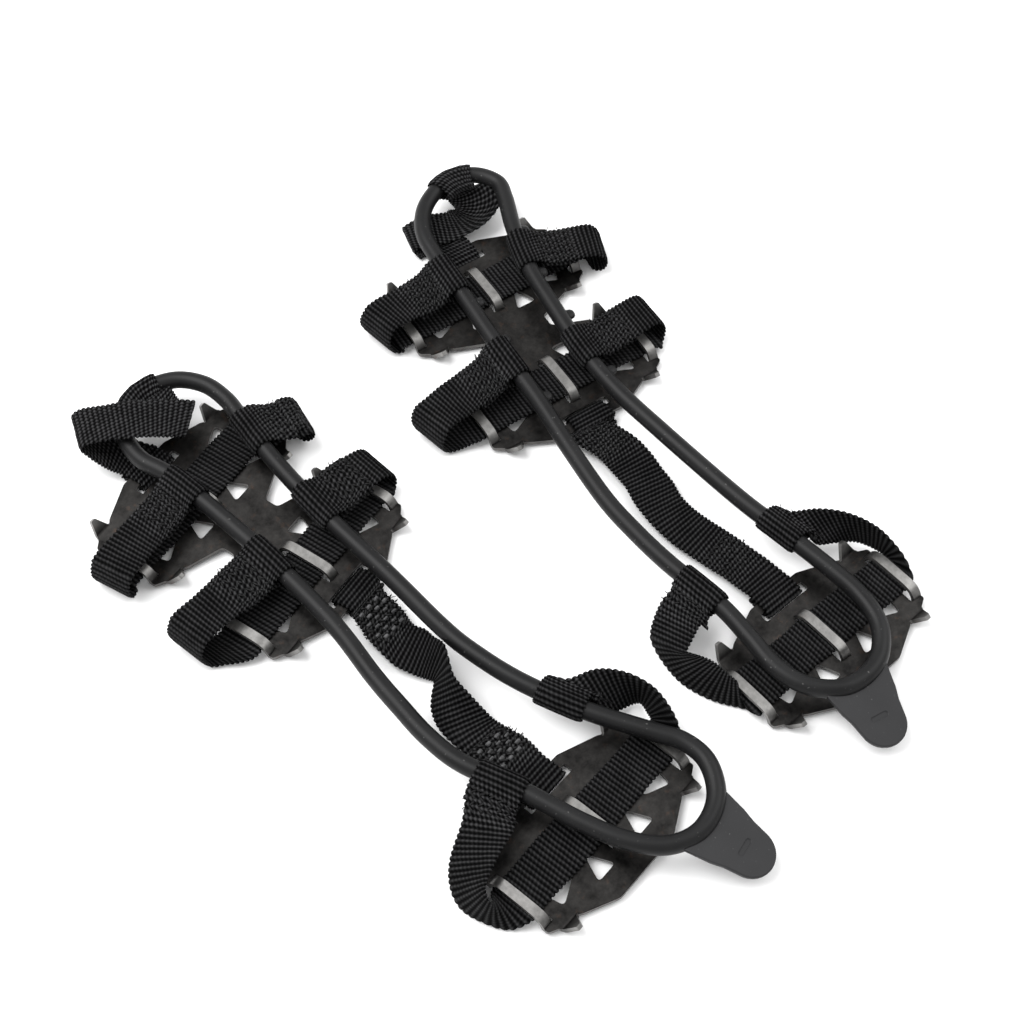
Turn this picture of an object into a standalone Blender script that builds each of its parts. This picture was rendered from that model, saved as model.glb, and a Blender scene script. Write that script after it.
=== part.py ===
"""A pair of strap-on steel crampons, lying on their backs with the teeth up.

Each crampon is a front plate and a heel plate of stamped steel, joined by a webbing mid strap.
Webbing cross straps run under raised bridges on the plates, and their ends are sewn round one
closed rubber ring, which goes over the boot. A toe strap ties the ring to the toe slot, and a
flat tab at the heel pulls the ring over the boot.

Lengths are written in millimetres and scaled to metres by MM. +Z is up, the toes point to +Y,
and the origin is under the middle of the pair, on the surface that it lies on.
"""

import math

import bmesh
import bpy
from mathutils import Matrix, Vector

MM = 0.001
COLLECTION = "crampons"

# Webbing and clearances
WEBBING_WIDTH = 20.0
WEBBING_THICKNESS = 1.6
GAP = 0.3

# Steel plates
STEEL = 2.0
PLATE_BOTTOM = WEBBING_THICKNESS + 0.5
PLATE_TOP = PLATE_BOTTOM + STEEL
WEBBING_ON_PLATE = PLATE_TOP + GAP + WEBBING_THICKNESS / 2
WEBBING_UNDER_PLATE = WEBBING_THICKNESS / 2 + 0.06
WING_END = 46.5
FORE_STRAP_Y = 64.5
HEEL_STRAP_Y = 0.9
REAR_SLOT_Y = -21.4
TOE_SLOT_Y = 85.3
HEEL_SLOT_Y = 22.2
FRONT_REAR_EDGE = -28.5
FRONT_TOE_EDGE = 93.5
HEEL_FRONT_EDGE = 29.0
TOOTH_X = 38.2
TOOTH_LENGTH = 8.4
TOOTH_HALF_BASE = 4.0
TOOTH_RISE = math.radians(45)

# Raised bridges over the webbing
BRIDGE_WIDTH = 4.4
BRIDGE_HALF_SPAN = 11.5
BRIDGE_RAMP = 2.4
BRIDGE_FOOT = 2.0
BRIDGE_CLEAR = PLATE_TOP + WEBBING_THICKNESS + 2 * GAP

# Rubber ring and tab
RING_RADIUS = 4.0
RING_Z = 14.9
WRAP_RADIUS = RING_RADIUS + GAP + WEBBING_THICKNESS / 2 + 0.2
WRAP_ANGLES = (-60, -105, -150, -195, -240, -275)
OUTER_SHOULDER = (-300, -325)
INNER_SHOULDER = (-300, -325, -350)
TOE_SLACK = 1.0
RING_POINT_SPACING = 8.0
TAB_THICKNESS = 2.6
TAB_ROOT_RADIUS = 29.9

# Loops of the cross straps beyond the wings
LOOP_TOPS = {-1: 18.2, 1: 16.2}
LOOP_BOTTOM = WEBBING_THICKNESS / 2

STEPS_BETWEEN_STATIONS = 2
ACROSS = (-1, 0, 1)
FOLD_GAP = 0.4

# One entry for each crampon, because webbing and rubber lie a little differently on each.
# Places are (x, y) from the crampon's own origin, directions are degrees from +X.
CRAMPONS = (
    {
        "name": "left",
        "origin": (-69.43, -0.92),
        "front_plate": (-3.3, 55.3, 14.2),
        "heel_plate": (4.5, -115.8, 7.8),
        "ring_front": (
            (-22.2, -30), (-21.2, -12), (-18.0, 18), (-18.2, 58), (-20.5, 93), (-24.0, 124),
            (-28.8, 141), (-27.4, 155), (-21.0, 165.5), (-7.0, 171.5), (8.0, 167.5),
            (17.0, 156.5), (19.4, 143), (18.0, 129), (14.8, 99), (13.7, 62), (14.7, 20),
            (14.8, -12), (16.5, -30),
        ),
        "ring_rear": (
            (16.5, -30), (22.0, -54), (33.0, -82), (46.0, -106), (53.0, -119), (53.5, -132),
            (45.0, -145), (31.0, -150.5), (17.0, -146.5), (6.5, -134.5), (-1.5, -117),
            (-10.5, -90), (-20.0, -66), (-22.6, -48), (-22.2, -30),
        ),
        "fore_loops": (((-23.0, 115), (-76.2, 99.4), 111), ((17.0, 122), (41.9, 114.2), 77)),
        "aft_loops": (((-18.5, 60), (-71.0, 53.5), 101), ((14.0, 68), (50.6, 70.2), 93)),
        "heel_loops": (
            ((-14.0, -82), 205, 117, (
                ((-24.5, -101.5, 16.2), (-35.5, -84.0, 11.5)),
                ((-35.5, -105.5, 16.5), (-47.0, -90.0, 6.5)),
                ((-45.0, -110.0, 18.0), (-54.5, -98.0, 3.2)),
                ((-50.0, -114.0, 19.2), (-57.3, -107.5, 1.5)),
                ((-51.2, -118.5, 18.6), (-54.5, -117.5, 1.2)),
                ((-48.5, -116.5, 13.0), (-49.0, -126.8, 1.3)),
            )),
            ((27.0, -70), -30, 68, (
                ((40.5, -82.5, 12.0), (37.8, -67.0, 18.3)),
                ((47.0, -86.5, 6.0), (47.2, -72.2, 18.8)),
                ((53.5, -88.8, 3.0), (54.4, -80.5, 19.8)),
                ((57.4, -90.5, 1.5), (58.2, -90.5, 20.0)),
                ((56.6, -95.0, 1.4), (58.8, -100.5, 19.4)),
                ((54.8, -99.0, 1.7), (57.0, -111.5, 14.5)),
            )),
        ),
        "toe_wrap": ((-8.0, 171.5), -83),
        "toe_strap": (
            ((-6.5, 161.0, 18.2), 14, 0), ((-6.0, 153.0, 17.2), 30, 0),
            ((-4.0, 146.0, 17.0), 42, 0), ((-0.5, 141.8, 18.7), 40, 0),
            ((-5.0, 144.8, 20.6), 46, 0), ((-20.0, 156.0, 22.2), 60, 0),
            ((-36.0, 167.0, 21.2), 65, 0), ((-41.5, 170.0, 19.6), 66, 0),
            ((-42.6, 170.3, 17.0), 66, 0), ((-40.5, 168.0, 13.6), 62, 0),
            ((-36.0, 162.0, 9.2), 50, 0), ((-31.0, 154.5, 6.2), 32, 0),
            ((-26.5, 146.5, 5.0), 14.2, 0),
        ),
        "mid_strap": (
            ((2.5, 22.0, 4.6), 14, 0), ((1.5, 8.0, 4.0), 6, 0),
            ((-8.3, -7.0, 3.6), (10.0, 0.0, 5.0)),
            ((-6.2, -14.0, 3.4), (11.6, -5.8, 6.4)),
            ((-4.0, -19.5, 3.0), (11.0, -12.5, 10.0)),
            ((-1.4, -23.2, 2.4), (8.8, -21.5, 18.6)),
            ((-0.3, -25.0, 2.0), (5.2, -29.0, 20.3)),
            ((-1.2, -26.2, 2.0), (2.7, -34.0, 19.7)),
            ((-5.0, -29.4, 2.4), (1.9, -38.2, 18.3)),
            ((-9.6, -34.7, 3.0), (2.6, -44.0, 14.6)),
            ((-12.8, -41.5, 3.4), (4.2, -49.5, 9.0)),
            ((-13.8, -49.5, 3.6), (5.8, -54.5, 4.6)),
            ((-13.0, -60.5, 3.8), (6.9, -60.0, 4.2)),
            ((0.0, -74.0, 4.8), 8, 0),
        ),
        "tab": {"centre": (28.5, -125.5), "direction": -75, "slope": -13, "length": 26.0},
    },
    {
        "name": "right",
        "origin": (72.57, -0.92),
        "front_plate": (3.5, 55.2, -9.0),
        "heel_plate": (-5.8, -119.8, -0.6),
        "ring_front": (
            (-33.7, -32), (-31.6, -12), (-25.0, 17), (-17.2, 47), (-9.6, 84), (-2.2, 115),
            (4.0, 142), (10.0, 159.5), (22.0, 171.5), (39.0, 176.5), (52.5, 171.5), (58.3, 160),
            (54.5, 149.5), (44.0, 131.5), (33.0, 108), (25.5, 84), (17.5, 54), (13.4, 27),
            (12.5, -2), (12.2, -32),
        ),
        "ring_rear": (
            (12.2, -32), (12.5, -56), (14.2, -80), (15.4, -104), (15.0, -120), (10.5, -135),
            (0.0, -145), (-12.0, -148), (-24.0, -145), (-33.5, -134.5), (-36.8, -120),
            (-34.6, -103), (-32.8, -84), (-34.3, -54), (-33.7, -32),
        ),
        "fore_loops": (((0.5, 130), (-46.6, 127.8), 96), ((36.5, 119), (71.4, 97.3), 60)),
        "aft_loops": (((-13.5, 72), (-66.6, 66.4), 98), ((17.5, 57), (60.4, 50.9), 80)),
        "heel_loops": (
            ((-33.0, -72), 207, 108, (
                ((-46.0, -85.5, 15.8), (-49.5, -65.8, 13.5)),
                ((-54.0, -88.5, 17.2), (-56.5, -68.8, 10.5)),
                ((-60.2, -91.2, 18.2), (-61.3, -72.0, 8.0)),
                ((-58.0, -97.0, 19.0), (-65.2, -85.5, 2.4)),
                ((-56.0, -103.0, 19.0), (-65.0, -97.0, 1.3)),
                ((-55.0, -109.0, 17.5), (-60.8, -110.3, 1.2)),
                ((-53.0, -113.5, 13.0), (-53.8, -121.5, 1.3)),
            )),
            ((14.0, -76), -36, 68, (
                ((24.5, -89.0, 11.5), (22.5, -72.6, 19.0)),
                ((32.5, -93.0, 5.6), (30.7, -79.4, 19.2)),
                ((40.0, -96.5, 3.0), (38.0, -88.8, 19.8)),
                ((44.0, -102.0, 1.6), (42.2, -98.8, 19.8)),
                ((45.4, -108.0, 1.4), (43.8, -109.0, 18.8)),
                ((44.4, -111.5, 1.6), (43.8, -121.0, 13.5)),
            )),
        ),
        "toe_wrap": ((42.0, 176.5), -90),
        "toe_rows": (
            ((35.0, 170.5, 11.0), (54.0, 164.5, 10.0)),
            ((35.6, 168.8, 9.4), (54.4, 156.5, 9.6)),
            ((35.9, 167.6, 8.2), (51.0, 148.0, 9.8)),
            ((35.6, 167.0, 7.4), (42.5, 143.5, 9.4)),
            ((35.0, 167.0, 6.8), (34.0, 145.0, 8.2)),
            ((33.6, 168.0, 6.3), (27.5, 148.0, 6.9)),
            ((31.0, 168.0, 6.0), (22.0, 151.0, 6.2)),
            ((25.5, 171.5, 5.8), (15.5, 154.0, 5.8)),
            ((18.0, 174.5, 5.6), (9.5, 157.5, 5.4)),
            ((11.0, 176.0, 4.4), (4.5, 160.0, 4.2)),
            ((10.4, 175.0, 2.7), (4.6, 158.0, 2.5)),
            ((15.0, 172.0, 1.7), (4.8, 156.0, 1.7)),
            ((24.0, 165.5, 1.6), (6.0, 156.5, 1.6)),
            ((28.0, 156.0, 2.6), (8.4, 154.5, 2.6)),
        ),
        "mid_strap": (
            ((-6.0, 26.0, 4.6), -9, 0), ((-3.5, 14.0, 4.0), 6, 0), ((-3.0, 4.0, 3.6), -4, 0),
            ((-5.6, -12.0, 3.6), -14, 0), ((-9.8, -28.0, 3.6), -10, 0),
            ((-10.4, -42.0, 3.6), 2, 0), ((-8.2, -58.0, 3.8), 10, 0),
            ((-6.5, -72.0, 4.4), 6, 0),
        ),
        "tab": {"centre": (-11.0, -122.5), "direction": -103, "slope": -13, "length": 25.5},
    },
)

MATERIALS = {
    "plate_steel": ((0.16, 0.155, 0.15, 1.0), 0.42, 0.9),
    "ring_rubber": ((0.035, 0.035, 0.038, 1.0), 0.6, 0.0),
    "webbing": ((0.02, 0.02, 0.021, 1.0), 0.9, 0.0),
}


def clear_scene():
    for obj in list(bpy.data.objects):
        bpy.data.objects.remove(obj, do_unlink=True)


def make_collection():
    collection = bpy.data.collections.new(COLLECTION)
    bpy.context.scene.collection.children.link(collection)
    return collection


def make_materials():
    made = {}
    for name, (colour, roughness, metallic) in MATERIALS.items():
        material = bpy.data.materials.new(name)
        material.use_nodes = True
        shader = material.node_tree.nodes["Principled BSDF"]
        shader.inputs["Base Color"].default_value = colour
        shader.inputs["Roughness"].default_value = roughness
        shader.inputs["Metallic"].default_value = metallic
        made[name] = material
    return made


# ---------------------------------------------------------------- outlines and meshes


def rounded_outline(corners, steps=2):
    """The closed outline through (x, y, radius) corners, with an arc of its radius at each."""
    points = []
    for index, (x, y, radius) in enumerate(corners):
        here = Vector((x, y))
        before = Vector(corners[index - 1][:2]) - here
        after = Vector(corners[(index + 1) % len(corners)][:2]) - here
        half_angle = before.angle(after) / 2
        reach = radius / math.tan(half_angle)
        start = here + before.normalized() * reach
        end = here + after.normalized() * reach
        for step in range(steps + 1):
            share = step / steps
            points.append(start * (1 - share) ** 2 + here * 2 * share * (1 - share) + end * share**2)
    return points


def mirrored(corners):
    """The whole outline from its right half, listed from the toe to the heel."""
    return list(corners) + [(-x, y, radius) for x, y, radius in reversed(corners)]


def temporary_mesh(name, curve):
    """A mesh object made from a curve, with its caps welded."""
    curve_object = bpy.data.objects.new(name, curve)
    bpy.context.scene.collection.objects.link(curve_object)
    graph = bpy.context.evaluated_depsgraph_get()
    mesh = bpy.data.meshes.new_from_object(curve_object.evaluated_get(graph))
    bpy.data.objects.remove(curve_object, do_unlink=True)
    body = bmesh.new()
    body.from_mesh(mesh)
    bmesh.ops.remove_doubles(body, verts=body.verts, dist=0.00001)
    bmesh.ops.recalc_face_normals(body, faces=body.faces)
    body.to_mesh(mesh)
    body.free()
    made = bpy.data.objects.new(name, mesh)
    bpy.context.scene.collection.objects.link(made)
    return made


def flat_piece(name, outlines, thickness):
    """A flat plate about z = 0. The first outline is its edge and the others are holes."""
    curve = bpy.data.curves.new(name, "CURVE")
    curve.dimensions = "2D"
    curve.fill_mode = "BOTH"
    curve.extrude = thickness / 2 * MM
    for outline in outlines:
        spline = curve.splines.new("POLY")
        spline.points.add(len(outline) - 1)
        for point, place in zip(spline.points, outline):
            point.co = (place.x * MM, place.y * MM, 0, 1)
        spline.use_cyclic_u = True
    return temporary_mesh(name, curve)


def union(name, base, additions):
    """One mesh from a base object and the objects that overlap it, which are used up."""
    for addition in additions:
        modifier = base.modifiers.new(addition.name, "BOOLEAN")
        modifier.operation = "UNION"
        modifier.object = addition
    bpy.context.view_layer.update()
    graph = bpy.context.evaluated_depsgraph_get()
    mesh = bpy.data.meshes.new_from_object(base.evaluated_get(graph))
    mesh.name = name
    for used in (base, *additions):
        bpy.data.objects.remove(used, do_unlink=True)
    return mesh


# ---------------------------------------------------------------- steel plates


def bridge(x, y):
    """A strap of steel raised over the webbing, along Y, with its feet in the plate."""
    inner = BRIDGE_CLEAR
    outer = inner + STEEL
    low = PLATE_BOTTOM + 0.2
    high = PLATE_TOP - 0.2
    ramp = BRIDGE_HALF_SPAN + BRIDGE_RAMP
    foot = ramp + BRIDGE_FOOT
    half = [
        (BRIDGE_HALF_SPAN + 0.8, outer, 1.6),
        (ramp + 0.9, high, 0.8),
        (foot, high, 0.3),
        (foot, low, 0.3),
        (ramp, low, 0.8),
        (BRIDGE_HALF_SPAN - 0.2, inner, 0.8),
    ]
    made = flat_piece("bridge", [rounded_outline(mirrored(half), 2)], BRIDGE_WIDTH)
    stand_up = Matrix.Rotation(math.pi / 2, 4, "Z") @ Matrix.Rotation(math.pi / 2, 4, "X")
    made.data.transform(Matrix.Translation((x * MM, y * MM, 0)) @ stand_up)
    return made


def tooth(x, y, outward):
    """A pointed tooth on a plate edge, bent up by TOOTH_RISE. outward is +1 to the toe, -1 to the heel."""
    half = [(0.9, TOOTH_LENGTH, 0.8), (3.2, 1.2, 1.0), (TOOTH_HALF_BASE, -0.9, 0.2)]
    made = flat_piece("tooth", [rounded_outline(mirrored(half), 2)], STEEL)
    turn = Matrix.Rotation(0 if outward > 0 else math.pi, 4, "Z")
    place = Matrix.Translation((x * MM, y * MM, (PLATE_BOTTOM + STEEL / 2) * MM))
    made.data.transform(place @ turn @ Matrix.Rotation(TOOTH_RISE, 4, "X"))
    return made


def wing_end(y, toe_side, heel_side):
    """Corners of a wing from its toe-side tooth to its heel-side tooth, open under the end bridge."""
    window = BRIDGE_HALF_SPAN + BRIDGE_RAMP
    inner = WING_END - BRIDGE_WIDTH - 0.5
    return [
        (34.0, y + toe_side + 1.6, 2.0),
        (41.5, y + toe_side - 2.6, 2.0),
        (WING_END, y + 16.6, 1.2),
        (WING_END, y + window, 0.4),
        (inner, y + window - 0.4, 0.8),
        (inner, y - window + 0.4, 0.8),
        (WING_END, y - window, 0.4),
        (WING_END, y - 16.6, 1.2),
        (41.5, y - heel_side + 2.6, 2.0),
        (34.0, y - heel_side - 1.6, 2.0),
    ]


def slot(y, half_width, half_height):
    return [
        (half_width, y + half_height, 0.8),
        (half_width, y - half_height, 0.8),
        (-half_width, y - half_height, 0.8),
        (-half_width, y + half_height, 0.8),
    ]


def centre_window(y):
    """The slit that a centre bridge was raised from."""
    return slot(y, BRIDGE_WIDTH / 2 + 0.9, BRIDGE_HALF_SPAN + BRIDGE_RAMP - 0.4)


def triangle_hole(x, y, towards):
    """A rounded triangle beside a cross strap, pointing under the strap."""
    return [
        (x - 4.7, y - towards * 5.2, 1.8),
        (x, y + towards * 6.6, 2.0),
        (x + 4.7, y - towards * 5.2, 1.8),
    ]


def wing_hole(x_sign, y, towards):
    """A rounded triangle near a wing end, its point towards the middle of the plate."""
    return [
        (x_sign * 35.5, y + towards * 3.5, 1.8),
        (x_sign * 33.8, y - towards * 4.6, 1.8),
        (x_sign * 21.5, y + towards * 1.0, 1.2),
    ]


def holes(y, sides):
    """The triangular holes beside the cross strap at y. sides are +1 for its toe side, -1 for its heel side."""
    found = []
    for side in sides:
        edge = y + side * WEBBING_WIDTH / 2
        for x_sign in (-1, 1):
            found.append(triangle_hole(x_sign * 12.2, edge + side * 4.2, -side))
            found.append(wing_hole(x_sign, edge - side * 0.4, -side))
    return found


def plate(name, half_outline, cut_outs, strap_rows, tooth_edges):
    outlines = [rounded_outline(mirrored(half_outline))]
    outlines += [rounded_outline(corners) for corners in cut_outs]
    base = flat_piece(name, outlines, STEEL)
    base.data.transform(Matrix.Translation((0, 0, (PLATE_BOTTOM + STEEL / 2) * MM)))
    additions = []
    end_x = WING_END - BRIDGE_WIDTH / 2 - 0.1
    for y in strap_rows:
        additions += [bridge(x, y) for x in (-end_x, 0, end_x)]
    for y, outward in tooth_edges:
        additions += [tooth(side * TOOTH_X, y, outward) for side in (-1, 1)]
    return union(name, base, additions)


def front_plate_mesh():
    edge = 20.0
    half = [(14.0, FRONT_TOE_EDGE, 5.0)]
    half += wing_end(FORE_STRAP_Y, edge, edge)
    half += [(15.2, 35.8, 2.6), (15.2, 29.0, 2.6)]
    half += wing_end(0, edge, edge)
    half += [(19.0, FRONT_REAR_EDGE, 4.0)]
    cut_outs = [
        slot(TOE_SLOT_Y, 13.0, 2.2),
        slot(REAR_SLOT_Y, 12.7, 2.2),
        centre_window(FORE_STRAP_Y),
        centre_window(0),
        *holes(FORE_STRAP_Y, (-1,)),
        *[wing_hole(side, FORE_STRAP_Y + 11.2, -1) for side in (-1, 1)],
        *[triangle_hole(side * 12.2, 12.6, -1) for side in (-1, 1)],
        *[wing_hole(side, -9.6, 1) for side in (-1, 1)],
    ]
    teeth = ((FORE_STRAP_Y + edge, 1), (FORE_STRAP_Y - edge, -1), (edge, 1), (-edge, -1))
    return plate("front_plate_mesh", half, cut_outs, (FORE_STRAP_Y, 0), teeth)


def heel_plate_mesh():
    edge = 19.6
    half = [(14.0, HEEL_FRONT_EDGE, 5.0)]
    half += wing_end(0, edge, edge)
    half += [(17.0, -HEEL_FRONT_EDGE, 5.0)]
    cut_outs = [slot(HEEL_SLOT_Y, 12.7, 2.2), centre_window(0), *holes(0, (-1,))]
    return plate("heel_plate_mesh", half, cut_outs, (0,), ((edge, 1), (-edge, -1)))


# ---------------------------------------------------------------- routes, tubes and ribbons


def smooth(values, steps):
    """Catmull-Rom points through a list of vectors, with `steps` points for each stretch."""
    padded = [2 * values[0] - values[1], *values, 2 * values[-1] - values[-2]]
    found = []
    for index in range(1, len(padded) - 2):
        a, b, c, d = padded[index - 1 : index + 3]
        for step in range(steps):
            t = step / steps
            found.append(
                0.5 * (2 * b + (c - a) * t + (2 * a - 5 * b + 4 * c - d) * t**2)
                + 0.5 * (3 * b - a - 3 * c + d) * t**3
            )
    return found + [values[-1]]


def evenly(points, spacing):
    """Points along a route, about `spacing` apart."""
    lengths = [0.0]
    for first, second in zip(points, points[1:]):
        lengths.append(lengths[-1] + (second - first).length)
    count = max(2, round(lengths[-1] / spacing))
    found = []
    at = 0
    for index in range(count + 1):
        target = lengths[-1] * index / count
        while at < len(points) - 2 and lengths[at + 1] < target:
            at += 1
        share = (target - lengths[at]) / (lengths[at + 1] - lengths[at])
        found.append(points[at].lerp(points[at + 1], min(1.0, share)))
    return found


def ring_route(stations):
    return smooth([Vector((x, y, RING_Z)) for x, y in stations], 12)


def tube(name, route, radius):
    curve = bpy.data.curves.new(name, "CURVE")
    curve.dimensions = "3D"
    curve.bevel_depth = radius * MM
    curve.bevel_resolution = 1
    curve.use_fill_caps = True
    spline = curve.splines.new("POLY")
    spline.points.add(len(route) - 1)
    for point, place in zip(spline.points, route):
        point.co = (*(place * MM), 1)
    return bpy.data.objects.new(name, curve)


def across(place, yaw_degrees, roll_degrees=0):
    """A row of points across webbing centred at place. yaw and roll turn the row from +X."""
    yaw = math.radians(yaw_degrees)
    roll = math.radians(roll_degrees)
    flat = Vector((math.cos(yaw), math.sin(yaw), 0)) * math.cos(roll)
    direction = flat + Vector((0, 0, math.sin(roll)))
    return [Vector(place) + direction * WEBBING_WIDTH / 2 * share for share in ACROSS]


def between(first, last):
    """A row of the webbing from one edge point to the other."""
    first, last = Vector(first), Vector(last)
    return [first.lerp(last, (share + 1) / 2) for share in ACROSS]


def row_at(entry):
    """A row from a station, (place, yaw, roll), or from its two edge points."""
    return between(*entry) if len(entry) == 2 else across(*entry)


def ribbon(name, rows):
    """A strip of webbing through rows of points across it."""
    columns = [smooth(list(column), STEPS_BETWEEN_STATIONS) for column in zip(*rows)]
    strip = bmesh.new()
    previous = None
    for row in zip(*columns):
        made = [strip.verts.new(point * MM) for point in row]
        if previous:
            for left in range(len(made) - 1):
                strip.faces.new((previous[left], previous[left + 1], made[left + 1], made[left]))
        previous = made
    mesh = bpy.data.meshes.new(name)
    strip.to_mesh(mesh)
    strip.free()
    webbing = bpy.data.objects.new(name, mesh)
    thicken = webbing.modifiers.new("webbing thickness", "SOLIDIFY")
    thicken.thickness = WEBBING_THICKNESS * MM
    thicken.offset = 0
    return webbing


def plate_point(pose, x, y, z):
    px, py, yaw = pose
    turned = Matrix.Rotation(math.radians(yaw), 2) @ Vector((x, y))
    return (px + turned.x, py + turned.y, z)


def route_at(route, place, offset):
    """The point at a distance along the route from its point nearest to (x, y), and its direction there."""
    target = Vector((*place, RING_Z))
    index = min(range(1, len(route) - 1), key=lambda i: (route[i] - target).length)
    step = 1 if offset > 0 else -1
    left = abs(offset)
    while left > 0 and 0 < index + step < len(route) - 1:
        left -= (route[index + step] - route[index]).length
        index += step
    return route[index], (route[index + 1] - route[index - 1]).normalized()


def wrap(route, place, leaves, width_near, further=(), radius=WRAP_RADIUS):
    """Rows of webbing sewn round the ring, from its sewn end to where it leaves at the top.

    leaves is the direction, in degrees, in which the webbing leaves the ring, and width_near is
    the direction of its width, which the ring's own direction is matched to.
    """
    width = Vector((math.cos(math.radians(width_near)), math.sin(math.radians(width_near)), 0))
    out = Vector((math.cos(math.radians(leaves)), math.sin(math.radians(leaves)), 0))
    forward = 1 if route_at(route, place, 0)[1].dot(width) > 0 else -1
    rows = []
    for degrees in WRAP_ANGLES + further:
        angle = math.radians(degrees)
        row = []
        for share in ACROSS:
            centre, along = route_at(route, place, share * forward * WEBBING_WIDTH / 2)
            away = (out - along * out.dot(along)).normalized()
            offset = away * math.cos(angle) + Vector((0, 0, math.sin(angle)))
            row.append(centre + offset * radius)
        rows.append(row)
    return rows


def loop(route, pose, row_y, side, shape):
    """Rows of one end of a cross strap, from the sewn end on the ring to the end bridge."""
    contact, outer, outer_yaw = shape
    loop_top = LOOP_TOPS[side]
    bridge_out = Vector(plate_point(pose, side * (WING_END + 5.0), row_y, WEBBING_ON_PLATE - 0.4))
    bridge_in = Vector(plate_point(pose, side * (WING_END - 7), row_y, WEBBING_ON_PLATE))
    tip = Vector((*outer, 0))
    leaves = math.degrees(math.atan2(outer[1] - contact[1], outer[0] - contact[0]))
    rows = wrap(route, contact, leaves, outer_yaw)
    top = rows[-1][len(ACROSS) // 2]
    end = rows[-1][-1] - rows[-1][0]
    sleeve_yaw = math.degrees(math.atan2(end.y, end.x))
    inward = Vector((top.x - tip.x, top.y - tip.y, 0)).normalized()
    back = Vector((bridge_out.x - tip.x, bridge_out.y - tip.y, 0)).normalized()
    middle = top.lerp(tip + inward * 8, 0.5)
    middle.z = (top.z + loop_top) / 2 + 0.4
    plate_yaw = 90 + pose[2]
    return rows + [
        across(middle, (sleeve_yaw + outer_yaw) / 2),
        across(tip + inward * 7.5 + Vector((0, 0, loop_top)), outer_yaw),
        across(tip + inward * 2.0 + Vector((0, 0, loop_top - 2.6)), outer_yaw),
        across(tip + Vector((0, 0, (loop_top + LOOP_BOTTOM) / 2)), outer_yaw),
        across(tip + back * 2.2 + Vector((0, 0, LOOP_BOTTOM + 2.6)), outer_yaw),
        across(tip + back * 7.0 + Vector((0, 0, LOOP_BOTTOM + 1.2)), outer_yaw),
        across(bridge_out, plate_yaw),
        across(bridge_in, plate_yaw),
    ]


def standing_loop(route, pose, side, shape):
    """Rows of one end of a heel strap, which stands on its edge where it turns round."""
    contact, leaves, width_near, stations = shape
    rows = wrap(route, contact, leaves, width_near, OUTER_SHOULDER)
    rows += [between(*station) for station in stations]
    for x in (WING_END + 1.2, WING_END - 7):
        place = plate_point(pose, side * x, HEEL_STRAP_Y, WEBBING_ON_PLATE)
        rows.append(across(place, 270 + pose[2]))
    return rows


def heel_strap(name, route, pose, loops):
    left = standing_loop(route, pose, -1, loops[0])
    right = standing_loop(route, pose, 1, loops[1])
    middle = across(plate_point(pose, 0, HEEL_STRAP_Y, WEBBING_ON_PLATE), 270 + pose[2])
    return ribbon(name, [*left, middle, *reversed(right)])


def cross_strap(name, route, pose, row_y, loops):
    left = loop(route, pose, row_y, -1, loops[0])
    right = loop(route, pose, row_y, 1, loops[1])
    middle = across(plate_point(pose, 0, row_y, WEBBING_ON_PLATE), 90 + pose[2])
    return ribbon(name, [*left, middle, *reversed(right)])


def bar_hook(pose, slot_y, edge_y, width_yaw):
    """Rows of webbing through a slot and back under the bar between the slot and the plate's edge."""
    outward = 1 if edge_y > slot_y else -1
    heights = (
        (edge_y + outward * 3, WEBBING_ON_PLATE),
        (slot_y + outward * 2.6, WEBBING_ON_PLATE + 0.1),
        (slot_y, WEBBING_ON_PLATE - 1.0),
        (slot_y - outward * 0.9, (PLATE_TOP + PLATE_BOTTOM) / 2),
        (slot_y, WEBBING_UNDER_PLATE + 0.9),
        (slot_y + outward * 2.6, WEBBING_UNDER_PLATE),
        (edge_y + outward * 5, WEBBING_UNDER_PLATE),
    )
    return [across(plate_point(pose, 0, y, z), width_yaw) for y, z in heights]


def toe_strap(name, crampon, route):
    contact, leaves = crampon["toe_wrap"]
    if "toe_rows" in crampon:
        stations = [between(*ends) for ends in crampon["toe_rows"]]
    else:
        stations = [across(*station) for station in crampon["toe_strap"]]
    first, last = stations[0][-1] - stations[0][0], stations[-1][-1] - stations[-1][0]
    near = math.degrees(math.atan2(first.y, first.x))
    last_yaw = crampon["front_plate"][2] + (180 if last.x < 0 else 0)
    shoulder = INNER_SHOULDER if "toe_rows" in crampon else ()
    rows = wrap(route, contact, leaves, near, shoulder, WRAP_RADIUS + TOE_SLACK) + stations
    rows += bar_hook(crampon["front_plate"], TOE_SLOT_Y, FRONT_TOE_EDGE, last_yaw)
    return ribbon(name, rows)


def mid_strap(name, crampon):
    stations = crampon["mid_strap"]
    front = crampon["front_plate"]
    heel = crampon["heel_plate"]
    at_front = bar_hook(front, REAR_SLOT_Y, FRONT_REAR_EDGE, front[2])
    at_heel = bar_hook(heel, HEEL_SLOT_Y, HEEL_FRONT_EDGE, heel[2])
    rows = [*reversed(at_front), *map(row_at, stations), *at_heel]
    return ribbon(name, rows)


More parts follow.
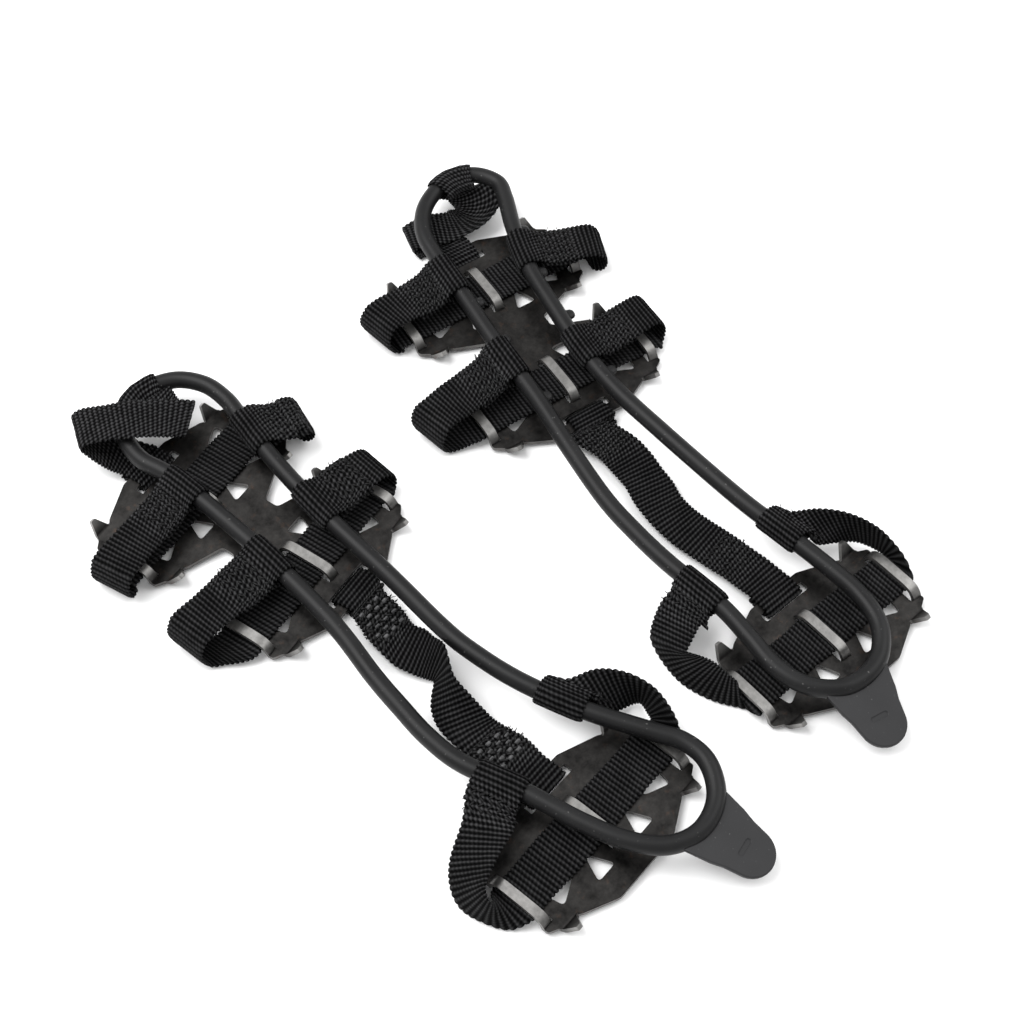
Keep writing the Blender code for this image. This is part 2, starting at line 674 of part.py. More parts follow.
def pull_tab(name, shape):
    """A flat tongue of rubber whose root follows the heel bend of the ring."""
    root_angles = [math.radians(angle) for angle in (-31, -16, 0, 16, 31)]
    points = [
        Vector((TAB_ROOT_RADIUS * math.cos(angle), TAB_ROOT_RADIUS * math.sin(angle)))
        for angle in root_angles
    ]
    tip_radius = 10.5
    tip_x = TAB_ROOT_RADIUS + shape["length"] - tip_radius
    for step in range(9):
        angle = math.radians(80 - 20 * step)
        points.append(Vector((tip_x + tip_radius * math.cos(angle), tip_radius * math.sin(angle))))
    made = flat_piece(name, [points], TAB_THICKNESS)
    lean = Matrix.Rotation(math.radians(-shape["slope"]), 4, "Y")
    hinge = Matrix.Translation((TAB_ROOT_RADIUS * MM, 0, (RING_Z - 2.4) * MM))
    turn = Matrix.Rotation(math.radians(shape["direction"]), 4, "Z")
    centre = Matrix.Translation((shape["centre"][0] * MM, shape["centre"][1] * MM, 0))
    made.data.transform(centre @ turn @ hinge @ lean @ Matrix.Translation((-TAB_ROOT_RADIUS * MM, 0, 0)))
    bpy.context.scene.collection.objects.unlink(made)
    return made


# ---------------------------------------------------------------- assembly


def plate_object(name, mesh, pose):
    made = bpy.data.objects.new(name, mesh)
    made.location = (pose[0] * MM, pose[1] * MM, 0)
    made.rotation_euler = (0, 0, math.radians(pose[2]))
    return made


def build_crampon(crampon, meshes, materials, collection):
    name = crampon["name"]
    base = bpy.data.objects.new(name + "_crampon", None)
    base.location = (crampon["origin"][0] * MM, crampon["origin"][1] * MM, 0)
    collection.objects.link(base)

    front_route = ring_route(crampon["ring_front"])
    rear_route = ring_route(crampon["ring_rear"])
    ring_front = evenly(front_route, RING_POINT_SPACING)
    ring_rear = evenly(rear_route, RING_POINT_SPACING)
    for end in (0, -1):
        ring_front[end].y += FOLD_GAP
        ring_rear[end].y -= FOLD_GAP

    webbing = (
        cross_strap(name + "_fore_strap", front_route, crampon["front_plate"], FORE_STRAP_Y,
                    crampon["fore_loops"]),
        cross_strap(name + "_aft_strap", front_route, crampon["front_plate"], 0,
                    crampon["aft_loops"]),
        heel_strap(name + "_heel_strap", rear_route, crampon["heel_plate"], crampon["heel_loops"]),
        toe_strap(name + "_toe_strap", crampon, front_route),
        mid_strap(name + "_mid_strap", crampon),
    )
    rubber = (
        tube(name + "_ring_front", ring_front, RING_RADIUS),
        tube(name + "_ring_rear", ring_rear, RING_RADIUS),
        pull_tab(name + "_pull_tab", crampon["tab"]),
    )
    steel = (
        plate_object(name + "_front_plate", meshes["front"], crampon["front_plate"]),
        plate_object(name + "_heel_plate", meshes["heel"], crampon["heel_plate"]),
    )
    for pieces, slot_name in ((webbing, "webbing"), (rubber, "ring_rubber"), (steel, "plate_steel")):
        for piece in pieces:
            collection.objects.link(piece)
            piece.parent = base
            if not piece.data.materials:
                piece.data.materials.append(materials[slot_name])


def main():
    clear_scene()
    collection = make_collection()
    materials = make_materials()
    meshes = {"front": front_plate_mesh(), "heel": heel_plate_mesh()}
    for crampon in CRAMPONS:
        build_crampon(crampon, meshes, materials, collection)


main()
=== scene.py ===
"""The looks of a pair of strap-on crampons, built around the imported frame.

Lengths are written in millimetres and scaled to metres by MM. Places on a crampon are (x, y)
from its own origin, as in the part's source, and directions are degrees from +X.
"""

import math
import random

import bmesh
import bpy
from mathutils import Matrix, Vector


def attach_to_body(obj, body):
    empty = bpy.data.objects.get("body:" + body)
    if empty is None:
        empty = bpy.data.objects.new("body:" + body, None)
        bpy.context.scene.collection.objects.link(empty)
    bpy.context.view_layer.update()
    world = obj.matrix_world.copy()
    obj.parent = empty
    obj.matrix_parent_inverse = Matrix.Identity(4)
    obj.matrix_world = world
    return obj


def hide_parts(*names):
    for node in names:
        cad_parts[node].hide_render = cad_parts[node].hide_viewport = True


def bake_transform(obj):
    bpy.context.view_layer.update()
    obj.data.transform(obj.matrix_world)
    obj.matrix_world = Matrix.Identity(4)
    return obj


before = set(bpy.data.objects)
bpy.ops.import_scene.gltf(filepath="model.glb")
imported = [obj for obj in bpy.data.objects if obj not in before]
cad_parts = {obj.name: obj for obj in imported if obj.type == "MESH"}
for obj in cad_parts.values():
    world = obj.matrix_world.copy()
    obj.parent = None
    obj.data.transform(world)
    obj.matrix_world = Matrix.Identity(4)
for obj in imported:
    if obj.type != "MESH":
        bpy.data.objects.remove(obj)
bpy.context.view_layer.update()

MM = 0.001

# ---------------------------------------------------------------- driving dimensions

WEBBING_WIDTH = 20.0
WEBBING_THICKNESS = 1.5
RIB_PITCH = 2.15
RIB_HEIGHT = 0.5
RIB_PROFILE = (0, 0.75, 1, 0.75)
SCALLOP = 0.3
COLUMNS = 13
COLUMN_PITCH = 1.8

STEEL = 2.0
PLATE_BOTTOM = 2.1
PLATE_TOP = PLATE_BOTTOM + STEEL
WEBBING_ON_PLATE = PLATE_TOP + 0.3 + WEBBING_THICKNESS / 2
WEBBING_UNDER_PLATE = 0.9
SLEEVE_WIDTH = 18.4
WING_END = 46.5
FORE_STRAP_Y = 64.5
REAR_SLOT_Y = -21.4
TOE_SLOT_Y = 85.3
HEEL_SLOT_Y = 22.2
FRONT_REAR_EDGE = -28.5
FRONT_TOE_EDGE = 93.5
HEEL_FRONT_EDGE = 29.0
TOOTH_X = 38.2
TOOTH_LENGTH = 8.0
TOOTH_RISE = math.radians(50)
BRIDGE_WIDTH = 4.4
BRIDGE_LIFT = 5.1
BRIDGE_FOOT = 14.0
HEEL_STRAP_Y = 1.2

RING_RADIUS = 4.0
RING_Z = 14.9
SLEEVE_RADIUS = RING_RADIUS + WEBBING_THICKNESS / 2 + 0.1
LOOP_TOPS = {-1: 18.2, 1: 16.2}
LOOP_BOTTOM = 0.9
ACROSS = (-1, -0.5, 0, 0.5, 1)
TAB_THICKNESS = 2.6
TAB_ROOT_RADIUS = 29.9

# How the crampons lie. Routes are repeated from the part's source.
CRAMPONS = (
    {
        "name": "left",
        "origin": (-69.43, -0.92),
        "front_plate": (-3.3, 55.3, 14.2),
        "heel_plate": (4.5, -115.8, 7.8),
        "fold_y": -30.0,
        "ring": (
            (-22.2, -30), (-21.2, -12), (-18.0, 18), (-18.2, 58), (-20.5, 93), (-24.0, 124),
            (-28.8, 141), (-27.4, 155), (-21.0, 165.5), (-7.0, 171.5), (8.0, 167.5),
            (17.0, 156.5), (19.4, 143), (18.0, 129), (14.8, 99), (13.7, 62), (14.7, 20),
            (14.8, -12), (16.5, -30), (22.0, -54), (33.0, -82), (46.0, -106), (53.0, -119),
            (53.5, -132), (45.0, -145), (31.0, -150.5), (17.0, -146.5), (6.5, -134.5),
            (-1.5, -117), (-10.5, -90), (-20.0, -66), (-22.6, -48),
        ),
        "fore_loops": (((-23.0, 115), (-75.4, 100.2), 109), ((17.0, 122), (41.9, 114.2), 77)),
        "aft_loops": (((-18.5, 60), (-69.6, 54.4), 99), ((14.0, 68), (50.6, 70.2), 93)),
        "heel_loops": (
            ((-14.0, -82), 205, 117, (
                ((-24.5, -101.5, 16.2), (-35.5, -84.0, 11.5)),
                ((-35.5, -105.5, 16.5), (-47.0, -90.0, 6.5)),
                ((-45.0, -110.0, 18.0), (-54.5, -98.0, 3.2)),
                ((-50.0, -114.0, 19.2), (-57.3, -107.5, 1.5)),
                ((-51.2, -118.5, 18.6), (-54.5, -117.5, 1.2)),
                ((-48.5, -116.5, 13.0), (-49.0, -126.8, 1.3)),
            )),
            ((27.0, -70), -30, 68, (
                ((38.5, -84.5, 9.0), (36.8, -67.8, 18.3)),
                ((46.0, -87.5, 5.2), (47.2, -72.2, 18.8)),
                ((53.5, -88.8, 3.0), (54.4, -80.5, 19.8)),
                ((57.4, -90.5, 1.5), (58.2, -90.5, 20.0)),
                ((56.6, -95.0, 1.4), (58.8, -100.5, 19.4)),
                ((54.8, -99.0, 1.7), (57.0, -111.5, 14.5)),
            )),
        ),
        "toe_wrap": ((-8.0, 171.5), -83),
        "toe_strap": (
            ((-6.5, 161.0, 18.2), 14, 0), ((-6.0, 153.0, 17.2), 30, 0),
            ((-4.0, 146.0, 17.0), 42, 0), ((-0.5, 141.8, 18.7), 40, 0),
            ((-5.0, 144.8, 20.6), 46, 0), ((-20.0, 156.0, 22.2), 60, 0),
            ((-36.0, 167.0, 21.2), 65, 0), ((-41.5, 170.0, 19.6), 66, 0),
            ((-42.6, 170.3, 17.0), 66, 0), ((-40.5, 168.0, 13.6), 62, 0),
            ((-36.0, 162.0, 9.2), 50, 0), ((-31.0, 154.5, 6.2), 32, 0),
            ((-26.5, 146.5, 5.0), 14.2, 0),
        ),
        "mid_strap": (
            ((2.5, 22.0, 4.6), 14, 0), ((1.5, 8.0, 4.0), 6, 0),
            ((-8.3, -7.0, 3.6), (10.0, 0.0, 5.0)),
            ((-6.2, -14.0, 3.4), (11.6, -5.8, 6.4)),
            ((-4.0, -19.5, 3.0), (11.0, -12.5, 10.0)),
            ((-1.4, -23.2, 2.4), (8.8, -21.5, 18.6)),
            ((-0.3, -25.0, 2.0), (5.2, -29.0, 20.3)),
            ((-1.2, -26.2, 2.0), (2.7, -34.0, 19.7)),
            ((-5.0, -29.4, 2.4), (1.9, -38.2, 18.3)),
            ((-9.6, -34.7, 3.0), (2.6, -44.0, 14.6)),
            ((-12.8, -41.5, 3.4), (4.2, -49.5, 9.0)),
            ((-13.8, -49.5, 3.6), (5.8, -54.5, 4.6)),
            ((-13.0, -60.5, 3.8), (6.9, -60.0, 4.2)),
            ((0.0, -74.0, 4.8), 8, 0),
        ),
        "tab": {"centre": (28.5, -125.5), "direction": -75, "slope": -13, "length": 26.0},
        "lugs": (),
    },
    {
        "name": "right",
        "origin": (72.57, -0.92),
        "front_plate": (3.5, 55.2, -9.0),
        "heel_plate": (-5.8, -119.8, -0.6),
        "fold_y": -32.0,
        "ring": (
            (-33.7, -32), (-31.6, -12), (-25.0, 17), (-17.2, 47), (-9.6, 84), (-2.2, 115),
            (4.0, 142), (10.0, 159.5), (22.0, 171.5), (39.0, 176.5), (52.5, 171.5), (58.3, 160),
            (54.5, 149.5), (44.0, 131.5), (33.0, 108), (25.5, 84), (17.5, 54), (13.4, 27),
            (12.5, -2), (12.2, -32), (12.5, -56), (14.2, -80), (15.4, -104), (15.0, -120),
            (10.5, -135), (0.0, -145), (-12.0, -148), (-24.0, -145), (-33.5, -134.5),
            (-36.8, -120), (-34.6, -103), (-32.8, -84), (-34.3, -54),
        ),
        "fore_loops": (((0.5, 130), (-45.2, 130.0), 93), ((36.5, 119), (71.4, 97.3), 60)),
        "aft_loops": (((-13.5, 72), (-64.6, 69.6), 94), ((17.5, 57), (60.4, 50.9), 80)),
        "heel_loops": (
            ((-33.0, -72), 207, 108, (
                ((-46.0, -85.5, 15.8), (-49.5, -65.8, 13.5)),
                ((-54.0, -88.5, 17.2), (-56.5, -68.8, 10.5)),
                ((-60.2, -91.2, 18.2), (-61.3, -72.0, 8.0)),
                ((-60.4, -93.0, 18.6), (-63.4, -76.0, 5.2)),
                ((-58.0, -97.0, 19.0), (-65.2, -85.5, 2.4)),
                ((-56.0, -103.0, 19.0), (-65.0, -97.0, 1.3)),
                ((-55.0, -109.0, 17.5), (-60.8, -110.3, 1.2)),
                ((-53.0, -113.5, 13.0), (-53.8, -121.5, 1.3)),
            )),
            ((14.0, -76), -36, 68, (
                ((23.0, -89.5, 9.8), (21.8, -72.6, 19.0)),
                ((32.5, -93.0, 5.6), (30.7, -79.4, 19.2)),
                ((40.0, -96.5, 3.0), (38.0, -88.8, 19.8)),
                ((44.0, -102.0, 1.6), (42.2, -98.8, 19.8)),
                ((45.4, -108.0, 1.4), (43.8, -109.0, 18.8)),
                ((44.4, -111.5, 1.6), (43.8, -121.0, 13.5)),
            )),
        ),
        "toe_wrap": ((42.0, 176.5), -90),
        "toe_rows": (
            ((35.0, 170.5, 11.0), (54.0, 164.5, 13.5), 2.0),
            ((35.6, 168.5, 9.0), (54.2, 157.0, 14.0), 3.5),
            ((35.9, 167.0, 7.6), (50.6, 149.5, 13.5), 4.0),
            ((36.0, 165.8, 6.9), (43.5, 146.5, 12.0), 4.0),
            ((35.0, 166.8, 6.5), (36.0, 146.5, 10.0), 3.0),
            ((33.6, 168.0, 6.3), (28.5, 148.8, 7.6), 1.5),
            ((31.0, 168.0, 6.0), (22.0, 151.0, 6.2)),
            ((25.5, 171.5, 5.8), (15.5, 154.0, 5.8)),
            ((18.0, 174.5, 5.6), (9.5, 157.5, 5.4)),
            ((11.0, 176.0, 4.4), (4.5, 160.0, 4.2)),
            ((10.4, 175.0, 2.7), (4.6, 158.0, 2.5)),
            ((15.0, 172.0, 1.7), (4.8, 156.0, 1.7)),
            ((24.0, 165.5, 1.6), (6.0, 156.5, 1.6)),
            ((28.0, 156.0, 2.6), (8.4, 154.5, 2.6)),
        ),
        "mid_strap": (
            ((-6.0, 26.0, 4.6), -9, 0), ((-3.5, 14.0, 4.0), 6, 0), ((-3.0, 4.0, 3.6), -4, 0),
            ((-5.6, -12.0, 3.6), -14, 0), ((-9.8, -28.0, 3.6), -10, 0),
            ((-10.4, -42.0, 3.6), 2, 0), ((-8.2, -58.0, 3.8), 10, 0),
            ((-6.5, -72.0, 4.4), 6, 0),
        ),
        "tab": {"centre": (-11.0, -122.5), "direction": -103, "slope": -13, "length": 25.5},
        "lugs": (
            ((42, 130), -30), ((36, 102), -25), ((26, 76), -20), ((15, 37), -15),
            ((-4, 109), -15), ((-10, 83), -15), ((-17.5, 48), -15),
        ),
    },
)

# ---------------------------------------------------------------- materials


def new_material(name, colour, roughness, metallic=0.0, specular=0.5):
    material = bpy.data.materials.new(name)
    material.use_nodes = True
    nodes = material.node_tree.nodes
    shader = nodes["Principled BSDF"]
    shader.inputs["Base Color"].default_value = (*colour, 1)
    shader.inputs["Roughness"].default_value = roughness
    shader.inputs["Metallic"].default_value = metallic
    shader.inputs["Specular IOR Level"].default_value = specular
    return material, material.node_tree, shader


def node(tree, kind, inputs=None, **settings):
    made = tree.nodes.new(kind)
    for key, value in settings.items():
        setattr(made, key, value)
    for key, value in (inputs or {}).items():
        if isinstance(value, bpy.types.NodeSocket):
            tree.links.new(value, made.inputs[key])
        else:
            made.inputs[key].default_value = value
    return made


def math_node(tree, operation, first, second=0.0):
    return node(tree, "ShaderNodeMath", {0: first, 1: second}, operation=operation).outputs[0]


def colour_ramp(tree, factor, stops):
    made = node(tree, "ShaderNodeValToRGB", {"Fac": factor})
    ramp = made.color_ramp
    while len(ramp.elements) < len(stops):
        ramp.elements.new(0.5)
    for element, (position, shade) in zip(ramp.elements, stops):
        element.position = position
        element.color = (*shade, 1) if len(shade) == 3 else (shade[0],) * 3 + (1,)
    return made.outputs["Color"]


def noise(tree, vector, scale, detail=3.0, roughness=0.5):
    inputs = {"Vector": vector, "Scale": scale, "Detail": detail, "Roughness": roughness}
    return node(tree, "ShaderNodeTexNoise", inputs).outputs["Fac"]


def webbing_material(name):
    """Black nylon webbing: the ribs are geometry. The colour here has the thread columns, a fine fuzzy
    speckle and worn specks, with a painted highlight on the rib crests, painted shade in the grooves
    between them and painted glints in the speckle.
    """
    material, tree, shader = new_material(name, (0.02, 0.02, 0.021), 0.8, specular=0.03)
    uv = node(tree, "ShaderNodeUVMap", uv_map="webbing").outputs["UV"]
    place = node(tree, "ShaderNodeTexCoord").outputs["Object"]
    worn = node(tree, "ShaderNodeAttribute", attribute_name="worn").outputs["Fac"]
    parts = node(tree, "ShaderNodeSeparateXYZ", {0: uv})
    across_mm, along_mm = parts.outputs[0], parts.outputs[1]
    wobble = noise(tree, place, 260.0, 2.0)
    along_mm = math_node(tree, "ADD", along_mm, math_node(tree, "MULTIPLY", wobble, 0.5))
    rib = math_node(tree, "MULTIPLY", along_mm, 2 * math.pi / RIB_PITCH)
    # Colour lighter on each rib crest and darker in each groove: a painted highlight and painted shade
    # over the ribbed geometry. The same wave also drives the bump.
    crest = math_node(tree, "MULTIPLY", math_node(tree, "COSINE", rib), -0.55)
    column = math_node(tree, "MULTIPLY", across_mm, 2 * math.pi / COLUMN_PITCH)
    half_rib = math_node(tree, "MULTIPLY", rib, 0.5)
    warp = math_node(tree, "COSINE", math_node(tree, "ADD", column, half_rib))
    warp_share = math_node(tree, "ADD", math_node(tree, "MULTIPLY", worn, 0.3), 0.2)
    weave_and_painted_rib_shading = math_node(tree, "ADD", crest, math_node(tree, "MULTIPLY", warp, warp_share))
    weave_and_painted_rib_shading = math_node(tree, "ADD", math_node(tree, "MULTIPLY", weave_and_painted_rib_shading, 0.8), 0.5)
    # Fine speckle: real fuzziness in the bump, and in the colour a painted glint on the nylon.
    fuzz_and_painted_glints = noise(tree, place, 1900.0, 3.0, 0.75)
    patches = noise(tree, place, 110.0, 3.0)
    blots = noise(tree, place, 560.0, 2.0, 0.6)
    tone = math_node(tree, "ADD", math_node(tree, "MULTIPLY", weave_and_painted_rib_shading, 0.6),
                     math_node(tree, "MULTIPLY", fuzz_and_painted_glints, 0.4))
    tone = math_node(tree, "ADD", tone, math_node(tree, "MULTIPLY",
                     math_node(tree, "SUBTRACT", patches, 0.5), 0.3))
    shift = math_node(tree, "MULTIPLY", math_node(tree, "SUBTRACT", blots, 0.42),
                      math_node(tree, "MULTIPLY", worn, 0.6))
    tone = math_node(tree, "ADD", tone, shift)
    shades = ((0.24, (0.0008, 0.0008, 0.0009)), (0.48, (0.0065, 0.0065, 0.0067)),
              (0.70, (0.0175, 0.0175, 0.0179)), (1.0, (0.043, 0.043, 0.0443)))
    tree.links.new(colour_ramp(tree, tone, shades), shader.inputs["Base Color"])
    height = math_node(tree, "ADD", math_node(tree, "MULTIPLY", weave_and_painted_rib_shading, 0.65),
                       math_node(tree, "MULTIPLY", fuzz_and_painted_glints, 0.35))
    bump = node(tree, "ShaderNodeBump", {"Strength": 0.9, "Distance": 0.0004, "Height": height})
    tree.links.new(bump.outputs[0], shader.inputs["Normal"])
    shader.inputs["Sheen Weight"].default_value = 0.0
    shader.inputs["Sheen Roughness"].default_value = 0.5
    return material


def thread_material(name, shades):
    """Sewing thread, mottled between two shades."""
    material, tree, shader = new_material(name, shades[1][1], 0.6, specular=0.15)
    place = node(tree, "ShaderNodeTexCoord").outputs["Object"]
    tree.links.new(colour_ramp(tree, noise(tree, place, 900.0, 2.0), shades),
                   shader.inputs["Base Color"])
    return material


def rubber_material(name, low, high, roughness):
    """Moulded rubber with a faint bloom, fine grain and a few pale specks of dust."""
    material, tree, shader = new_material(name, low, roughness, specular=0.2)
    place = node(tree, "ShaderNodeTexCoord").outputs["Object"]
    bloom = noise(tree, place, 45.0, 4.0)
    grain = noise(tree, place, 1500.0, 2.0)
    specks = noise(tree, place, 700.0, 1.0)
    base = colour_ramp(tree, bloom, ((0.3, low), (0.75, high)))
    dust = colour_ramp(tree, specks, ((0.72, (0, 0, 0)), (0.80, (0.35, 0.35, 0.35))))
    mixed = node(tree, "ShaderNodeMix", data_type="RGBA")
    tree.links.new(dust, mixed.inputs[0])
    tree.links.new(base, mixed.inputs[6])
    mixed.inputs[7].default_value = (0.16, 0.16, 0.155, 1)
    tree.links.new(mixed.outputs[2], shader.inputs["Base Color"])
    rough = node(tree, "ShaderNodeMapRange", {"Value": bloom, "To Min": roughness - 0.06,
                                              "To Max": roughness + 0.1})
    tree.links.new(rough.outputs[0], shader.inputs["Roughness"])
    bump = node(tree, "ShaderNodeBump", {"Strength": 0.3, "Distance": 0.0001, "Height": grain})
    tree.links.new(bump.outputs[0], shader.inputs["Normal"])
    return material


def steel_material(name, dark, light, roughness, wear_colour, rust=0.0):
    """Stamped steel: mottled oil-dark surface, rubbed bright where the wear attribute says so."""
    material, tree, shader = new_material(name, dark, roughness, metallic=0.85)
    place = node(tree, "ShaderNodeTexCoord").outputs["Object"]
    clouds = noise(tree, place, 70.0, 5.0, 0.6)
    fine = noise(tree, place, 420.0, 3.0, 0.6)
    mottle = math_node(tree, "ADD", math_node(tree, "MULTIPLY", clouds, 0.7),
                       math_node(tree, "MULTIPLY", fine, 0.3))
    base = colour_ramp(tree, mottle, ((0.35, dark), (0.68, light)))
    stain = node(tree, "ShaderNodeMix", data_type="RGBA")
    stains = colour_ramp(tree, noise(tree, place, 160.0, 4.0, 0.7),
                         ((0.58, (0, 0, 0)), (0.78, (rust,) * 3)))
    tree.links.new(stains, stain.inputs[0])
    tree.links.new(base, stain.inputs[6])
    stain.inputs[7].default_value = (0.16, 0.085, 0.05, 1)
    wear = node(tree, "ShaderNodeAttribute", attribute_name="wear").outputs["Fac"]
    rubbed = math_node(tree, "MULTIPLY", wear, math_node(tree, "ADD", 0.45, fine))
    worn = node(tree, "ShaderNodeMix", data_type="RGBA")
    tree.links.new(rubbed, worn.inputs[0])
    tree.links.new(stain.outputs[2], worn.inputs[6])
    worn.inputs[7].default_value = (*wear_colour, 1)
    tree.links.new(worn.outputs[2], shader.inputs["Base Color"])
    rough = node(tree, "ShaderNodeMapRange", {"Value": mottle, "To Min": roughness - 0.12,
                                              "To Max": roughness + 0.14})
    tree.links.new(rough.outputs[0], shader.inputs["Roughness"])
    bump = node(tree, "ShaderNodeBump", {"Strength": 0.25, "Distance": 0.0003, "Height": mottle})
    tree.links.new(bump.outputs[0], shader.inputs["Normal"])
    return material


# ---------------------------------------------------------------- curves and rows


def smooth(values, steps, closed=False):
    """Catmull-Rom points through a list of vectors, with `steps` points for each stretch."""
    if closed:
        padded = [values[-1], *values, values[0], values[1]]
    else:
        padded = [2 * values[0] - values[1], *values, 2 * values[-1] - values[-2]]
    found = []
    for index in range(1, len(padded) - 2):
        a, b, c, d = padded[index - 1 : index + 3]
        for step in range(steps):
            t = step / steps
            found.append(
                0.5 * (2 * b + (c - a) * t + (2 * a - 5 * b + 4 * c - d) * t**2)
                + 0.5 * (3 * b - a - 3 * c + d) * t**3
            )
    return found if closed else found + [values[-1]]


def lengths_along(points):
    found = [0.0]
    for first, second in zip(points, points[1:]):
        found.append(found[-1] + (second - first).length)
    return found


def polar(degrees, length=1.0):
    return Vector((math.cos(math.radians(degrees)), math.sin(math.radians(degrees)), 0)) * length


def across(place, yaw, roll=0):
    """A row of points across webbing centred at place. yaw and roll turn the row from +X."""
    tilt = math.radians(roll)
    direction = polar(yaw) * math.cos(tilt) + Vector((0, 0, math.sin(tilt)))
    return [Vector(place) + direction * WEBBING_WIDTH / 2 * share for share in ACROSS]


def between(first, last, sag=0.0):
    """A row of points across webbing from one edge to the other, its middle lower by sag."""
    row = [Vector(first).lerp(Vector(last), (share + 1) / 2) for share in ACROSS]
    for point, share in zip(row, ACROSS):
        point.z -= sag * (1 - share * share)
    return row


def row_at(entry):
    """A row from a station, (place, yaw, roll), or from its two edge points."""
    return between(*entry) if len(entry) == 2 else across(*entry)


def plate_point(pose, x, y, z):
    px, py, yaw = pose
    turned = Matrix.Rotation(math.radians(yaw), 2) @ Vector((x, y))
    return (px + turned.x, py + turned.y, z)


def route_at(route, place, offset):
    """The point at a distance along the closed route from its point nearest to (x, y)."""
    target = Vector((*place, RING_Z))
    index = min(range(len(route)), key=lambda i: (route[i] - target).length)
    step = 1 if offset > 0 else -1
    left = abs(offset)
    while left > 0:
        following = (index + step) % len(route)
        left -= (route[following] - route[index]).length
        index = following
    along = route[(index + 1) % len(route)] - route[index - 1]
    return route[index], along.normalized()


def sleeve(route, place, leaves, width_near, tail=24.0):
    """Rows of webbing round the ring, from the tail sewn under the top layer to the top layer.

    leaves is the direction in which the webbing leaves the ring, and width_near is the
    direction of its width, which the ring's own direction is matched to.
    """
    out = polar(leaves)
    forward = 1 if route_at(route, place, 0)[1].dot(polar(width_near)) > 0 else -1
    half = WEBBING_THICKNESS / 2 + 0.05
    middle = (tail + 9) / 2
    profile = [(tail, -half), (middle, -half), (9.5, -half - 0.1), (6.8, -2.0)]
    for degrees in (-62, -90, -125, -160, -195, -230, -265, -298):
        profile.append((SLEEVE_RADIUS * math.cos(math.radians(degrees)),
                        SLEEVE_RADIUS * math.sin(math.radians(degrees))))
    profile += [(6.8, 2.2), (9.5, half + 0.1), (middle, half)]
    rows = []
    for distance, rise in profile:
        row = []
        for share in ACROSS:
            centre, along = route_at(route, place, share * forward * SLEEVE_WIDTH / 2)
            away = (out - along * out.dot(along)).normalized()
            near = min(1.0, max(0.0, (abs(distance) - 6) / 8)) if distance > 0 else 0
            direction = away.lerp(out, near)
            row.append(centre + direction * distance + Vector((0, 0, rise)))
        rows.append(row)
    return rows


def loop(route, pose, row_y, side, shape):
    """Rows of one end of a cross strap, from the sewn tail to the end bridge."""
    contact, outer, outer_yaw = shape
    loop_top = LOOP_TOPS[side]
    bridge_out = Vector(plate_point(pose, side * (WING_END + 5), row_y, WEBBING_ON_PLATE - 0.4))
    bridge_in = Vector(plate_point(pose, side * (WING_END - 7), row_y, WEBBING_ON_PLATE))
    tip = Vector((*outer, 0))
    leaves = math.degrees(math.atan2(outer[1] - contact[1], outer[0] - contact[0]))
    rows = sleeve(route, contact, leaves, outer_yaw)
    top = rows[-1][len(ACROSS) // 2]
    inward = Vector((top.x - tip.x, top.y - tip.y, 0)).normalized()
    back = Vector((bridge_out.x - tip.x, bridge_out.y - tip.y, 0)).normalized()
    plate_yaw = 90 + pose[2]
    return rows + [
        across(tip + inward * 7.5 + Vector((0, 0, loop_top)), outer_yaw),
        across(tip + inward * 2.0 + Vector((0, 0, loop_top - 2.6)), outer_yaw),
        across(tip + Vector((0, 0, (loop_top + LOOP_BOTTOM) / 2)), outer_yaw),
        across(tip + back * 2.2 + Vector((0, 0, LOOP_BOTTOM + 2.6)), outer_yaw),
        across(tip + back * 7.0 + Vector((0, 0, LOOP_BOTTOM + 1.2)), outer_yaw),
        across(bridge_out, plate_yaw),
        across(bridge_in, plate_yaw),
    ]


def standing_loop(route, pose, side, shape):
    """Rows of one end of a heel strap, which stands on its edge where it turns round."""
    contact, leaves, width_near, stations = shape
    rows = sleeve(route, contact, leaves, width_near, tail=13.0)[:-1]
    rows += [between(*station) for station in stations]
    yaw = 90 + pose[2] + 180
    for x in (WING_END + 1.2, WING_END - 7):
        rows.append(across(plate_point(pose, side * x, HEEL_STRAP_Y, WEBBING_ON_PLATE), yaw))
    return rows


# ---------------------------------------------------------------- webbing


class Strip:
    """Webbing through rows of points, sampled so that each rib has a crest and a valley."""

    def __init__(self, rows):
        columns = [smooth(list(column), 10) for column in zip(*rows)]
        fine = list(zip(*columns))
        middle = [row[len(row) // 2] for row in fine]
        lengths = lengths_along(middle)
        self.at_row = lengths[::10]
        self.length = lengths[-1]
        count = round(self.length / (RIB_PITCH / len(RIB_PROFILE)))
        self.rows = []
        at = 0
        for index in range(count + 1):
            target = self.length * index / count
            while at < len(fine) - 2 and lengths[at + 1] < target:
                at += 1
            share = (target - lengths[at]) / max(lengths[at + 1] - lengths[at], 1e-9)
            share = min(1.0, share)
            self.rows.append([a.lerp(b, share) for a, b in zip(fine[at], fine[at + 1])])
        self.step = self.length / count

    def place(self, index, share):
        """The point of row index at share of the width, from -1 to 1."""
        row = self.rows[max(0, min(len(self.rows) - 1, index))]
        position = (share + 1) / 2 * (len(row) - 1)
        low = min(len(row) - 2, int(position))
        return row[low].lerp(row[low + 1], position - low)

    def frame_at(self, index, share):
        """Point, direction along, direction across and normal at a place on the strip."""
        here = self.place(index, share)
        along = (self.place(index + 1, share) - self.place(index - 1, share)).normalized()
        wide = (self.place(index, min(1, share + 0.2)) - self.place(index, max(-1, share - 0.2)))
        wide = (wide - along * wide.dot(along)).normalized()
        return here, along, wide, along.cross(wide)


